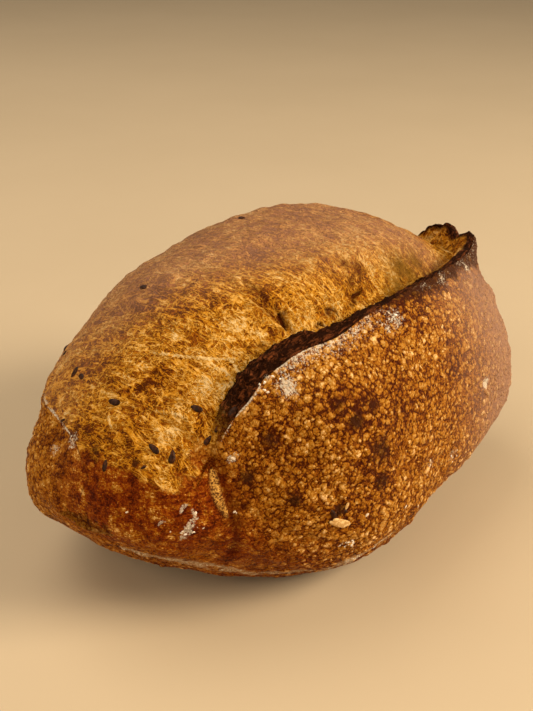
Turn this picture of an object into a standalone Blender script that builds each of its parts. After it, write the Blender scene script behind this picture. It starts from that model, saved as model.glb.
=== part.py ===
"""A seeded sourdough loaf, made as one solid.

A squat oval hearth loaf with one long score. Along the score the skin of one side has lifted into an
ear with a torn, ragged crest, which curls round the far end. The crumb that burst out beside it, the
bloom, has set as a tall dome that runs down to a seam on the other side. Blisters and lumps are relief
in the crust, and the dark seeds that show are sunk to half their thickness and fused to it.

Axes: X along the loaf, -Y toward the ear's blistered side, Z up. The loaf rests on Z = 0, its box
centred over the origin. Sizes are in metres and angles in degrees. A "place" runs along the loaf from
-1 at the near tip to 1 at the far tip, and an "angle" runs round it: 0 at the front's waist, 90 on top,
180 at the back's waist and 270 underneath.
"""

import math

import bmesh
import bpy
import numpy as np
from mathutils import Matrix, Vector
from mathutils.bvhtree import BVHTree

# The loaf's length, and its reach from the middle at six distances along X, before its ends round off.
LENGTH = 0.226
DISTANCES = (-0.090, -0.056, -0.019, 0.019, 0.056, 0.090)
FRONT_WIDTHS = (0.0630, 0.0870, 0.0895, 0.0890, 0.0955, 0.1080)
BACK_WIDTHS = (0.0700, 0.0705, 0.0745, 0.0730, 0.0755, 0.0715)
HEIGHTS = (0.1230, 0.1262, 0.1250, 0.1265, 0.1280, 0.1250)
WAIST_HEIGHT = 0.048
BASE_SINK = 0.008  # how much of the round underside is flat, from lying on the oven's floor
BASE_ROUNDING = 0.0025

# The tips' Y and Z, then how squarely each outline runs into the near and the far tip: 2 is an ellipse.
NEAR_TIP = (0.006, 0.0500)
FAR_TIP = (-0.010, 0.0510)
LENGTH_SQUARENESS = (2.19, 2.41)
FRONT_SQUARENESS = (2.75, 2.78)
BACK_SQUARENESS = (2.60, 2.76)
TOP_SQUARENESS = (1.66, 2.40)
BASE_SQUARENESS = (1.52, 2.50)

# How square the four quarters of a section are. The lower two change from the near tip inward.
FRONT_TOP_SQUARENESS = 2.40
BACK_TOP_SQUARENESS = 2.00
FRONT_BASE_SQUARENESS = (1.75, 2.65)
BACK_BASE_SQUARENESS = (3.60, 3.00)
NEAR_TIP_SHARE = 0.75

# The score: place, angle, how high its skin has lifted, the torn band's width, the valley's depth.
SCORE = (
    (-1.000, -22.0, 0.0000, 0.0002, 0.0002),
    (-0.930, -2.0, 0.0000, 0.0003, 0.0004),
    (-0.840, 18.0, 0.0000, 0.0006, 0.0006),
    (-0.761, 31.5, 0.0005, 0.0012, 0.0010),
    (-0.716, 37.9, 0.0022, 0.0030, 0.0022),
    (-0.674, 41.9, 0.0035, 0.0048, 0.0035),
    (-0.621, 45.0, 0.0045, 0.0066, 0.0045),
    (-0.570, 48.9, 0.0040, 0.0070, 0.0050),
    (-0.497, 51.5, 0.0030, 0.0072, 0.0058),
    (-0.404, 52.4, 0.0020, 0.0066, 0.0068),
    (-0.291, 50.6, 0.0010, 0.0052, 0.0075),
    (-0.122, 50.6, 0.0000, 0.0026, 0.0082),
    (0.086, 48.2, 0.0008, 0.0010, 0.0085),
    (0.300, 46.5, 0.0025, 0.0012, 0.0085),
    (0.500, 47.4, 0.0045, 0.0016, 0.0085),
    (0.650, 48.0, 0.0105, 0.0020, 0.0078),
    (0.740, 48.6, 0.0180, 0.0026, 0.0062),
    (0.765, 50.4, 0.0166, 0.0026, 0.0056),
    (0.790, 52.7, 0.0136, 0.0028, 0.0050),
    (0.810, 54.6, 0.0142, 0.0030, 0.0048),
    (0.830, 56.8, 0.0184, 0.0030, 0.0045),
    (0.865, 60.5, 0.0184, 0.0030, 0.0040),
    (0.900, 65.5, 0.0182, 0.0030, 0.0034),
    (0.925, 70.7, 0.0130, 0.0026, 0.0026),
    (0.975, 88.0, 0.0010, 0.0010, 0.0005),
    (1.000, 98.0, 0.0000, 0.0002, 0.0002),
)
LIFTED_ARC = 28.0     # how far round the section the skin leans up toward the score
TALL_LIFTS = (0.006, 0.014)   # the lifts between which the neck and the shoulder grow to their full depth
NECK = (0.85, 8.5, 5.0)       # the skin drawn in under a tall ear: share, degrees below the edge, width
SHOULDER = (0.12, 19.0, 8.0)  # and a little more below the neck
BAND_RISE = 42.0      # how steeply the torn band climbs from the skin's edge
CREST_RAGS = 0.0012   # how far the band's crest is torn in and out
CREST_GAP = 0.003     # from the crest to the valley behind it
BLOOM_RUN = 0.030     # over which the bloom climbs out of the valley
BLOOM_RISE = 0.5      # how far the bloom rises with the ear, as a share of the ear's lift

# The seam that bounds the bloom: place and angle, round the near end and then along the back.
SEAM = (
    (-0.960, 84.0),
    (-0.904, 105.0),
    (-0.865, 119.0),
    (-0.828, 130.5),
    (-0.740, 146.0),
    (-0.600, 155.0),
    (-0.40, 158.0),
    (0.30, 158.0),
    (0.80, 150.0),
    (0.94, 132.0),
)
SEAM_STEP = 0.0012
SEAM_ARC = 7.0

# The fold that runs down the near end from the foot of the ear: angle and place.
FOLD = (
    (-22.0, -0.725),
    (-8.0, -0.735),
    (5.7, -0.745),
    (13.6, -0.755),
    (22.1, -0.759),
    (31.0, -0.760),
)
FOLD_DEPTH = 0.0012
FOLD_WIDTH = 0.0030

# Relief of the crust: heights, and the shortest and longest waves, in metres.
LUMP_HEIGHT = 0.0007
LUMP_WAVES = (0.022, 0.060)
BLISTER_HEIGHT = 0.0004
BLISTER_WAVES = (0.009, 0.016)
RELIEF_SEED = 7

# Mesh divisions: rings along the loaf, then columns round each ring.
RINGS = 58
SKIN_COLUMNS = 28
BAND_COLUMNS = 2
INNER_COLUMNS = 3
BLOOM_COLUMNS = 38

# Seeds: their size, then the place, angle, turn in the surface and scale of each that shows.
SEED_LENGTH = 0.0062
SEED_WIDTH = 0.0031
SEED_THICKNESS = 0.0022
SEED_TAPER = 0.25
SHOWN_SEEDS = (
    (-0.801, 89.1, 98.0, 0.75),
    (-0.711, 57.9, 106.0, 0.68),
    (-0.848, 57.2, 88.0, 0.68),
    (-0.831, 46.2, 44.0, 0.86),
    (-0.651, 47.8, 4.0, 0.72),
    (-0.742, 42.1, 16.0, 0.62),
    (-0.708, 44.7, 22.0, 0.45),
    (-0.931, 76.4, 14.0, 0.76),
    (-0.893, 53.9, 160.0, 0.50),
    (-0.743, 114.2, 60.0, 0.80),
    (-0.864, 118.1, 94.0, 0.54),
    (-0.550, 142.4, 15.0, 0.80),
    (0.097, 105.0, 64.0, 0.90),
    (-0.509, 1.3, 116.0, 0.69),
    (-0.475, 1.0, 156.0, 0.64),
)
SCATTERED_SEEDS = 12
SCATTER_PLACES = (-0.75, 0.75)
SCATTER_ANGLES = (95.0, 195.0)
SCATTER_SEED = 3


def clear_scene():
    """Removes every object that the scene starts with."""
    for item in list(bpy.data.objects):
        bpy.data.objects.remove(item, do_unlink=True)


def material(name, colour, roughness):
    """A plain finish of one colour and roughness."""
    made = bpy.data.materials.new(name)
    made.use_nodes = True
    shader = made.node_tree.nodes["Principled BSDF"]
    shader.inputs["Base Color"].default_value = (*colour, 1.0)
    shader.inputs["Roughness"].default_value = roughness
    shader.inputs["Metallic"].default_value = 0.0
    return made


def eased(share):
    """A share from 0 to 1 that starts and ends gently."""
    share = np.clip(share, 0.0, 1.0)
    return share * share * (3.0 - 2.0 * share)


def flowing(at, places, values):
    """Reads a smooth curve through the values at their places."""
    places = np.asarray(places)
    values = np.asarray(values)
    slopes = np.gradient(values, places)
    left = np.clip(np.searchsorted(places, at, side="right") - 1, 0, len(places) - 2)
    gap = places[left + 1] - places[left]
    share = np.clip((at - places[left]) / gap, 0.0, 1.0)
    level = values[left] + (values[left + 1] - values[left]) * eased(share)
    lean = (1.0 - share) * slopes[left] - share * slopes[left + 1]
    return level + gap * share * (1.0 - share) * lean


def signed_power(value, power):
    """A power that keeps the value's sign."""
    return np.sign(value) * np.abs(value) ** power


def unit(vectors):
    """The vectors at a length of 1."""
    return vectors / np.maximum(np.linalg.norm(vectors, axis=-1, keepdims=True), 1e-12)


def near_or_far(turn, pair):
    """The first of the pair on the near half of the loaf, the second on the far half."""
    return np.where(turn < math.pi / 2, *pair)


def girth(turn):
    """A section's X, its middle and its four reaches, at a turn from 0 (near tip) to pi (far tip)."""
    along = -LENGTH / 2 * signed_power(np.cos(turn), 2.0 / near_or_far(turn, LENGTH_SQUARENESS))
    swell = np.maximum(np.sin(turn), 0.0)
    distance = np.clip(along, DISTANCES[0], DISTANCES[-1])
    tip_y = near_or_far(turn, (NEAR_TIP[0], FAR_TIP[0]))
    tip_z = near_or_far(turn, (NEAR_TIP[1], FAR_TIP[1]))
    front_fill = swell ** (2.0 / near_or_far(turn, FRONT_SQUARENESS))
    back_fill = swell ** (2.0 / near_or_far(turn, BACK_SQUARENESS))
    top_fill = swell ** (2.0 / near_or_far(turn, TOP_SQUARENESS))
    base_fill = swell ** (2.0 / near_or_far(turn, BASE_SQUARENESS))
    front = tip_y - (flowing(distance, DISTANCES, FRONT_WIDTHS) + tip_y) * front_fill
    back = tip_y + (flowing(distance, DISTANCES, BACK_WIDTHS) - tip_y) * back_fill
    top = tip_z + (flowing(distance, DISTANCES, HEIGHTS) - tip_z) * top_fill
    base = tip_z - (BASE_SINK + tip_z) * base_fill
    middle_y = tip_y * (1.0 - (front_fill + back_fill) / 2)
    middle_z = tip_z + (WAIST_HEIGHT - tip_z) * (top_fill + base_fill) / 2
    return along, middle_y, middle_z, front, back, top, base


def body(turn, angle):
    """Points of the plain loaf: superelliptic quarters round each section's middle."""
    along, middle_y, middle_z, front, back, top, base = girth(turn)
    across = np.cos(angle)
    up = np.sin(angle)
    inward = eased((1.0 - np.cos(turn)) / NEAR_TIP_SHARE)
    front_base = FRONT_BASE_SQUARENESS[0] + inward * np.diff(FRONT_BASE_SQUARENESS)
    back_base = BACK_BASE_SQUARENESS[0] + inward * np.diff(BACK_BASE_SQUARENESS)
    upper = np.where(across >= 0, FRONT_TOP_SQUARENESS, BACK_TOP_SQUARENESS)
    lower = np.where(across >= 0, front_base, back_base)
    power = 2.0 / np.where(up >= 0, upper, lower)
    side = np.where(across >= 0, front - middle_y, back - middle_y)
    rise = np.where(up >= 0, top - middle_z, middle_z - base)
    y = middle_y + side * np.abs(across) ** power
    z = middle_z + rise * signed_power(up, power)
    return np.stack([along + 0.0 * angle, y, z], axis=-1)


def outward(turn, angle):
    """The plain loaf's outward direction, from the steps beside each point."""
    step = 1e-3
    off_tip = np.clip(turn, 0.02, math.pi - 0.02)
    along = body(off_tip + step, angle) - body(off_tip - step, angle)
    around = body(off_tip, angle + step) - body(off_tip, angle - step)
    return unit(np.cross(along, around))


def score(turn):
    """The score's angle in radians, lift, band width and valley depth at each turn."""
    places, angles, lifts, bands, valleys = zip(*SCORE)
    place = -np.cos(turn)
    angle = np.radians(flowing(place, places, angles))
    lift, band, valley = (np.maximum(flowing(place, places, row), 0.0) for row in (lifts, bands, valleys))
    return angle, lift, band, valley


def skin(turn, angle, edge_angle, lift):
    """The blistered side: near the score it leaves the plain loaf and rises, over a neck where it is tall."""
    arc = math.radians(LIFTED_ARC)
    share = eased((angle - edge_angle + arc) / arc) ** 1.5
    below = np.degrees(edge_angle - angle)
    tall = np.clip(lift, *TALL_LIFTS) - TALL_LIFTS[0]
    inward = tall * sum(depth * np.exp(-(((below - at) / wide) ** 2)) for depth, at, wide in (NECK, SHOULDER))
    risen = body(turn, angle) + (lift * share)[..., None] * np.array([0.0, 0.0, 1.0])
    return risen - inward[..., None] * outward(turn, angle)


def crest(turn, edge, band):
    """The torn band's far edge: across the score and up, along a ragged line."""
    run = unit(np.gradient(edge[:, 0, :], axis=0))
    across = unit(np.stack([-run[:, 1], run[:, 0], 0.0 * run[:, 0]], axis=-1))[:, None, :]
    rags = sum(np.sin(turn * waves + shift) for waves, shift in ((61.0, 0.0), (97.0, 1.3), (149.0, 2.1)))
    wide = band + CREST_RAGS / 2 * rags * eased(band / 0.003)
    rise = math.radians(BAND_RISE)
    slope = across * math.cos(rise) + np.array([0.0, 0.0, math.sin(rise)])
    return edge + wide[..., None] * slope


def bloom(turn, angle, start_angle, valley, lift):
    """The burst crumb: up from the valley behind the ear, risen where the ear is high, in past the seam."""
    points = body(turn, angle)
    left = 1.0 - eased(np.linalg.norm(points - body(turn, start_angle), axis=-1) / BLOOM_RUN)
    sunk = valley * left**1.6
    risen = BLOOM_RISE * lift * left**2
    seam = np.radians(flowing(-np.cos(turn), *zip(*SEAM)))
    past_seam = eased((angle - seam) / math.radians(SEAM_ARC))
    above_base = eased((1.5 * math.pi - angle) / 0.4)
    off_tip = eased((np.sin(turn) - 0.3) / 0.3)
    inward = sunk + SEAM_STEP * past_seam * above_base * off_tip
    return points + risen[..., None] * np.array([0.0, 0.0, 1.0]) - inward[..., None] * outward(turn, angle)


def crust_rings():
    """Every ring of the loaf, skin, torn band, inner face, bloom and back, and which way is out of it."""
    turn = (np.arange(1, RINGS + 1) * math.pi / (RINGS + 1))[:, None]
    edge_angle, lift, band, valley = score(turn)
    side_angles = -math.pi / 2 + (edge_angle + math.pi / 2) * np.linspace(0.0, 1.0, SKIN_COLUMNS)
    side = skin(turn, side_angles, edge_angle, lift)
    edge = side[:, -1:, :]
    top = crest(turn, edge, band)
    sector = np.linalg.norm(body(turn, edge_angle + 0.1) - body(turn, edge_angle), axis=-1)
    start_angle = edge_angle + 0.1 * np.minimum((band + CREST_GAP) / np.maximum(sector, 1e-4), 6.0)
    dome_angles = start_angle + (1.5 * math.pi - start_angle) * np.linspace(0.0, 1.0, BLOOM_COLUMNS)
    dome = bloom(turn, dome_angles, start_angle, valley, lift)
    torn = edge + (top - edge) * np.linspace(0.0, 1.0, BAND_COLUMNS + 1)[1:, None]
    inner = top + (dome[:, :1, :] - top) * np.linspace(0.0, 1.0, INNER_COLUMNS + 1)[1:-1, None]
    between = np.linspace(0.0, 1.0, BAND_COLUMNS + INNER_COLUMNS + 1)[1:-1]
    between_angles = edge_angle + (start_angle - edge_angle) * between
    angles = np.concatenate([side_angles, between_angles, dome_angles[:, :-1]], axis=1)
    return np.concatenate([side, torn, inner, dome[:, :-1, :]], axis=1), outward(turn, angles)


def plane_waves(points, waves, count, seed):
    """A gently random height: plane waves in seeded directions, from the short wave to the long."""
    draw = np.random.default_rng(seed)
    total = np.zeros(points.shape[:-1])
    for wave in np.linspace(*waves, count):
        heading = draw.normal(size=3)
        heading /= np.linalg.norm(heading)
        total += np.sin(points @ heading * (2 * math.pi / wave) + draw.uniform(0, 2 * math.pi))
    return total / math.sqrt(count)


def fold(points):
    """Depth of the fold at the near end: a soft groove about a curve on the plain loaf."""
    angles, places = zip(*FOLD)
    angle = np.linspace(angles[0], angles[-1], 25)
    line = body(np.arccos(-flowing(angle, angles, places)), np.radians(angle))
    gap = np.linalg.norm(points[..., None, :] - line, axis=-1).min(axis=-1)
    return FOLD_DEPTH * np.exp(-((gap / FOLD_WIDTH) ** 2))


def relief(points):
    """Height of the crust's lumps and blisters less the fold's depth, none on the flat base."""
    lumps = LUMP_HEIGHT * plane_waves(points, LUMP_WAVES, 9, RELIEF_SEED)
    blisters = BLISTER_HEIGHT * np.abs(plane_waves(points, BLISTER_WAVES, 14, RELIEF_SEED + 1))
    return (lumps + blisters - fold(points)) * eased((points[..., 2] - 0.002) / 0.008)


def settled(points):
    """The underside pressed flat on Z = 0, with a rounded rim."""
    z = points[..., 2:]
    rim = np.clip(z + BASE_ROUNDING, 0.0, 2 * BASE_ROUNDING) ** 2 / (4 * BASE_ROUNDING)
    return np.concatenate([points[..., :2], np.where(z > BASE_ROUNDING, z, rim)], axis=-1)


def crust_mesh():
    """The rings joined by quads, with a fan of triangles to each tip."""
    rings, out = crust_rings()
    rings = settled(rings + relief(rings)[..., None] * out)
    count, columns = rings.shape[:2]
    tips = body(np.array([0.0, math.pi]), np.array([0.0, 0.0]))
    faces = []
    for ring in range(count - 1):
        start = ring * columns
        for column in range(columns):
            beside = (column + 1) % columns
            faces.append((start + column, start + columns + column, start + columns + beside, start + beside))
    near_tip = count * columns
    last = (count - 1) * columns
    for column in range(columns):
        beside = (column + 1) % columns
        faces.append((near_tip, column, beside))
        faces.append((near_tip + 1, last + beside, last + column))
    mesh = bpy.data.meshes.new("bread")
    mesh.from_pydata(np.concatenate([rings.reshape(-1, 3), tips]).tolist(), [], faces)
    return mesh


def seed_mesh():
    """One seed, a flattened drop lying along X."""
    shape = bmesh.new()
    bmesh.ops.create_uvsphere(shape, u_segments=6, v_segments=4, radius=1.0)
    bmesh.ops.rotate(shape, verts=shape.verts, matrix=Matrix.Rotation(math.pi / 2, 3, "Y"))
    for vert in shape.verts:
        slim = 1.0 - SEED_TAPER * vert.co.x
        vert.co.x *= SEED_LENGTH / 2
        vert.co.y *= SEED_WIDTH / 2 * slim
        vert.co.z *= SEED_THICKNESS / 2 * slim
    mesh = bpy.data.meshes.new("seed")
    shape.to_mesh(mesh)
    shape.free()
    return mesh


def seed_spots():
    """The seeds that show, then a few on the sides that don't."""
    draw = np.random.default_rng(SCATTER_SEED)
    spots = list(SHOWN_SEEDS)
    near, far = SCATTER_PLACES
    for number in range(SCATTERED_SEEDS):
        place = near + (far - near) * (number + draw.uniform(0.1, 0.9)) / SCATTERED_SEEDS
        spots.append((place, draw.uniform(*SCATTER_ANGLES), draw.uniform(0.0, 180.0), draw.uniform(0.7, 1.0)))
    return spots


def lay_seed(crust_tree, mesh, spot, tray):
    """Sinks a seed to half its thickness where a ray toward its spot meets the crust."""
    place, angle, turned, scale = spot
    turn = np.array([math.acos(-place)])
    angle = np.array([math.radians(angle)])
    out = Vector(outward(turn, angle)[0])
    start = Vector(body(turn, angle)[0]) + 0.03 * out
    hit, normal, _, _ = crust_tree.ray_cast(start, -out)
    beside = normal.cross(Vector((1.0, 0.0, 0.0))).normalized()
    facing = Matrix((beside.cross(normal), beside, normal)).transposed().to_4x4()
    placed = bpy.data.objects.new("seed", mesh)
    turned_in_surface = Matrix.Rotation(math.radians(turned), 4, "Z")
    placed.matrix_world = Matrix.Translation(hit) @ facing @ turned_in_surface @ Matrix.Scale(scale, 4)
    tray.objects.link(placed)


def fuse(loaf, tray):
    """Joins the tray's seeds to the loaf in one union, and clears the tray away."""
    union = loaf.modifiers.new("seeds", "BOOLEAN")
    union.operation = "UNION"
    union.operand_type = "COLLECTION"
    union.collection = tray
    union.material_mode = "TRANSFER"
    depsgraph = bpy.context.evaluated_depsgraph_get()
    loaf_alone = loaf.data
    loaf.data = bpy.data.meshes.new_from_object(loaf.evaluated_get(depsgraph))
    loaf.modifiers.clear()
    bpy.data.meshes.remove(loaf_alone)
    for seed in list(tray.objects):
        bpy.data.objects.remove(seed, do_unlink=True)
    bpy.data.collections.remove(tray)


def centre(loaf):
    """Moves the mesh so that its box stands centred over the origin, its base on Z = 0."""
    corners = np.array([vert.co for vert in loaf.data.vertices])
    low = corners.min(axis=0)
    middle = (low + corners.max(axis=0)) / 2
    loaf.data.transform(Matrix.Translation((-middle[0], -middle[1], -low[2])))


def main():
    """Bakes the loaf, lays its seeds and joins them."""
    clear_scene()
    mesh = crust_mesh()
    mesh.shade_smooth()
    mesh.materials.append(material("baked crust", (0.34, 0.15, 0.05), 0.75))
    loaf = bpy.data.objects.new("bread", mesh)
    bpy.context.scene.collection.objects.link(loaf)
    corners = [vert.co for vert in mesh.vertices]
    crust_tree = BVHTree.FromPolygons(corners, [face.vertices[:] for face in mesh.polygons])
    tray = bpy.data.collections.new("seeds")
    bpy.context.scene.collection.children.link(tray)
    seed = seed_mesh()
    seed.shade_smooth()
    seed.materials.append(material("dark seed", (0.03, 0.012, 0.007), 0.45))
    for spot in seed_spots():
        lay_seed(crust_tree, seed, spot, tray)
    fuse(loaf, tray)
    centre(loaf)


main()
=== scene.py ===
"""The looks of a seeded sourdough loaf: its crust at full detail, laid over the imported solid.

The crust is worked out as one grid of points, rings along the loaf by columns round it, and cut along its
columns into closed pieces: the blistered side, the torn edge, the bloom, the back and the underside. Seeds
and flour are pieces of their own on it. A "turn" runs from 0 at the near tip to pi at the far tip, a "place"
is minus its cosine, and an "angle" runs round a section: 0 at the front's waist, 90 degrees on top, 180 at
the back's waist and 270 underneath. Sizes are in metres.
"""

import logging
import math
from dataclasses import dataclass, field
from enum import Enum

import bpy
import numpy as np
from mathutils import Matrix, Quaternion, Vector
from mathutils.bvhtree import BVHTree


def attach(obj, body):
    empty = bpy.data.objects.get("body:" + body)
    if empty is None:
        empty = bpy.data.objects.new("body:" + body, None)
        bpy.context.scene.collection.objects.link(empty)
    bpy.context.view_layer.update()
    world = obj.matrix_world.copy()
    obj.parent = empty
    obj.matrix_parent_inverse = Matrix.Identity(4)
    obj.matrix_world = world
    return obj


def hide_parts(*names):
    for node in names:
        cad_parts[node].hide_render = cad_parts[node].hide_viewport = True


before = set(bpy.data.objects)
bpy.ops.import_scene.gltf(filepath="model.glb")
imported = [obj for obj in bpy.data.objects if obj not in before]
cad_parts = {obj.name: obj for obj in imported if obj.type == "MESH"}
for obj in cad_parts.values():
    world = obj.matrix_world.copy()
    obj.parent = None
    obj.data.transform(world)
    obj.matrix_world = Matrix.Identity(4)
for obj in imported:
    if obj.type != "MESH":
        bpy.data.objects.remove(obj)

Array = np.ndarray
Colour = tuple[float, float, float]
Stops = tuple[tuple[float, Colour], ...]
Line = tuple[tuple[float, float], ...]
Socket = bpy.types.NodeSocket
LOG = logging.getLogger("sourdough")
UP = np.array([0.0, 0.0, 1.0])
MIDDLE = math.pi / 2  # the turn of the loaf's middle section
UNDERNEATH = 1.5 * math.pi  # the angle of the base's middle line
FAR_OFF = 9.0  # a distance beyond anything on the loaf
NODE = "bread"
BODY = "root"


# ---------------------------------------------------------------- curves and noise


def eased(share: Array) -> Array:
    """A share from 0 to 1 that starts and ends gently: 3 s^2 - 2 s^3."""
    share = np.clip(share, 0.0, 1.0)
    return share * share * (3.0 - 2.0 * share)


def ramped(value: Array, low: float, high: float) -> Array:
    """The eased share of the way from low to high."""
    return eased((value - low) / (high - low))


def bell(away: Array) -> Array:
    """1 at no distance, falling off to both sides: e to the power of minus its square."""
    return np.exp(-(away**2))


def unit(vectors: Array) -> Array:
    """The vectors at a length of 1."""
    return vectors / np.maximum(np.linalg.norm(vectors, axis=-1, keepdims=True), 1e-12)


def signed_power(value: Array, power: Array) -> Array:
    """A power that keeps the value's sign."""
    return np.sign(value) * np.abs(value) ** power


def flowing(at: Array, places: Array, values: Array) -> Array:
    """Reads a smooth curve: a cubic between each two values, with the slopes of the steps beside them.

    Args:
        at: where to read it.
        places: rising places of the values.
        values: the curve's values there.

    Returns:
        The curve's value at each place asked for.
    """
    places = np.asarray(places)
    values = np.asarray(values)
    slopes = np.gradient(values, places)
    left = np.clip(np.searchsorted(places, at, side="right") - 1, 0, len(places) - 2)
    gap = places[left + 1] - places[left]
    share = np.clip((at - places[left]) / gap, 0.0, 1.0)
    level = values[left] + (values[left + 1] - values[left]) * eased(share)
    lean = (1.0 - share) * slopes[left] - share * slopes[left + 1]
    return level + gap * share * (1.0 - share) * lean


def lattice(cells: Array, seed: int) -> Array:
    """A number from 0 to 1 for each whole cell, from its three counts multiplied by primes and mixed.

    Args:
        cells: whole numbers, three for each cell.
        seed: which lattice.

    Returns:
        A number for each cell.
    """
    counts = cells.astype(np.int64).astype(np.uint32)
    mixed = counts[..., 0] * np.uint32(73856093)
    mixed ^= counts[..., 1] * np.uint32(19349663)
    mixed ^= counts[..., 2] * np.uint32(83492791)
    mixed ^= np.uint32(seed * 2654435761 % 2**32)
    for shift in (15, 13, 16):
        mixed ^= mixed >> np.uint32(shift)
        mixed *= np.uint32(2246822519)
    return (mixed >> np.uint32(8)).astype(np.float64) / 2**24


def jitter(cells: Array, seed: int) -> Array:
    """Three numbers from -0.5 to 0.5 for each whole cell."""
    return np.stack([lattice(cells, seed + axis) for axis in range(3)], axis=-1) - 0.5


def soft_noise(points: Array, seed: int) -> Array:
    """Smooth noise from 0 to 1: each lattice cell's eight corner numbers, blended by eased shares.

    Args:
        points: where to read it, in cells.
        seed: which noise.

    Returns:
        The noise at each point.
    """
    base = np.floor(points)
    share = eased(points - base)
    total = np.zeros(points.shape[:-1])
    for corner in np.ndindex(2, 2, 2):
        step = np.array(corner)
        weight = np.prod(np.where(step == 1, share, 1.0 - share), axis=-1)
        total += weight * lattice(base + step, seed)
    return total


def layered_noise(points: Array, size: float | Array, layers: int, seed: int) -> Array:
    """Noise from 0 to 1 in layers, each at half the size and half the weight of the one before.

    Args:
        points: where to read it, in metres.
        size: the widest layer's cells, one number or one for each axis.
        layers: how many layers.
        seed: which noise.

    Returns:
        The layers' weighted mean, spread so that most of it lies between 0.2 and 0.8.
    """
    total = np.zeros(points.shape[:-1])
    weight = 0.0
    for layer in range(layers):
        part = 0.5**layer
        total += part * soft_noise(points / (np.asarray(size) * part) + 17.3 * layer, seed + layer)
        weight += part
    return np.clip(0.5 + 1.5 * (total / weight - 0.5), 0.0, 1.0)


def straying(points: Array, size: float, seed: int) -> Array:
    """Three smooth numbers from -0.5 to 0.5 for each point, by which a pattern on it is bent."""
    return np.stack([layered_noise(points, size, 2, seed + 5 * axis) for axis in range(3)], axis=-1) - 0.5


def plane_waves(points: Array, waves: tuple[float, float], count: int, seed: int) -> Array:
    """A gently random height: plane waves in seeded directions, from the short wave to the long.

    Args:
        points: where to read it, in metres.
        waves: the shortest and the longest wave.
        count: how many waves.
        seed: which waves.

    Returns:
        The waves' sum, with a spread of about 0.7.
    """
    draw = np.random.default_rng(seed)
    total = np.zeros(points.shape[:-1])
    for wave in np.linspace(*waves, count):
        heading = draw.normal(size=3)
        heading /= np.linalg.norm(heading)
        total += np.sin(points @ heading * (2 * math.pi / wave) + draw.uniform(0, 2 * math.pi))
    return total / math.sqrt(count)


@dataclass(frozen=True)
class Bubbles:
    """A scatter of round blisters: one in each cell of a jittered lattice, each with its own radius.

    Attributes:
        spacing: width of a lattice cell.
        radii: smallest and largest radius, the largest under half the spacing.
        present: the share of cells that hold a blister.
        seed: which scatter.
    """

    spacing: float
    radii: tuple[float, float]
    present: float
    seed: int

    def read(self, points: Array) -> tuple[Array, Array, Array, Array]:
        """Finds the blister that stands highest over each point.

        A blister's dome is 1 - d^2, with d the distance from its centre in radii, and its outline is a
        narrow bell about d = 1.12.

        Args:
            points: rows of three, in metres.

        Returns:
            The blister's height in metres, its dome, its outline and its tone, the last three from 0 to 1.
        """
        base = np.floor(points / self.spacing - 0.5)
        best = np.zeros(len(points))
        height = np.zeros(len(points))
        outline = np.zeros(len(points))
        tone = np.full(len(points), 0.5)
        for corner in np.ndindex(2, 2, 2):
            cell = base + np.array(corner)
            draw = lattice(cell, self.seed + 3)
            radius = self.radii[0] + (self.radii[1] - self.radii[0]) * draw**1.5
            centre = (cell + 0.5 + 0.6 * jitter(cell, self.seed)) * self.spacing
            away = np.linalg.norm(points - centre, axis=-1) / radius
            away = np.where(lattice(cell, self.seed + 4) < self.present, away, FAR_OFF)
            dome = np.clip(1.0 - away**2, 0.0, 1.0)
            higher = dome > best
            best = np.where(higher, dome, best)
            height = np.where(higher, dome**0.7 * radius, height)
            tone = np.where(higher, lattice(cell, self.seed + 5), tone)
            outline = np.maximum(outline, bell((away - 1.12) / 0.17))
        return height, best, outline * (best < 0.05), tone


@dataclass(frozen=True)
class Cobbles:
    """Skin cracked into small cobbles: each point belongs to the nearest of a jittered lattice's centres.

    Attributes:
        spacing: width of a lattice cell.
        seed: which scatter.
    """

    spacing: float
    seed: int

    def read(self, points: Array) -> tuple[Array, Array]:
        """How far each point is from its cobble's border, and which tone the cobble has.

        The distance is the second nearest centre's less the nearest one's, in cells.

        Args:
            points: rows of three, in metres.

        Returns:
            The distance, and the tone from 0 to 1.
        """
        scaled = points / self.spacing
        base = np.floor(scaled - 0.5)
        nearest = np.full(len(points), FAR_OFF)
        second = np.full(len(points), FAR_OFF)
        tone = np.zeros(len(points))
        for corner in np.ndindex(2, 2, 2):
            cell = base + np.array(corner)
            away = np.linalg.norm(scaled - (cell + 0.5 + 0.8 * jitter(cell, self.seed)), axis=-1)
            closer = away < nearest
            second = np.where(closer, nearest, np.minimum(second, away))
            tone = np.where(closer, lattice(cell, self.seed + 5), tone)
            nearest = np.where(closer, away, nearest)
        return second - nearest, tone


# ---------------------------------------------------------------- the loaf's form


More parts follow.
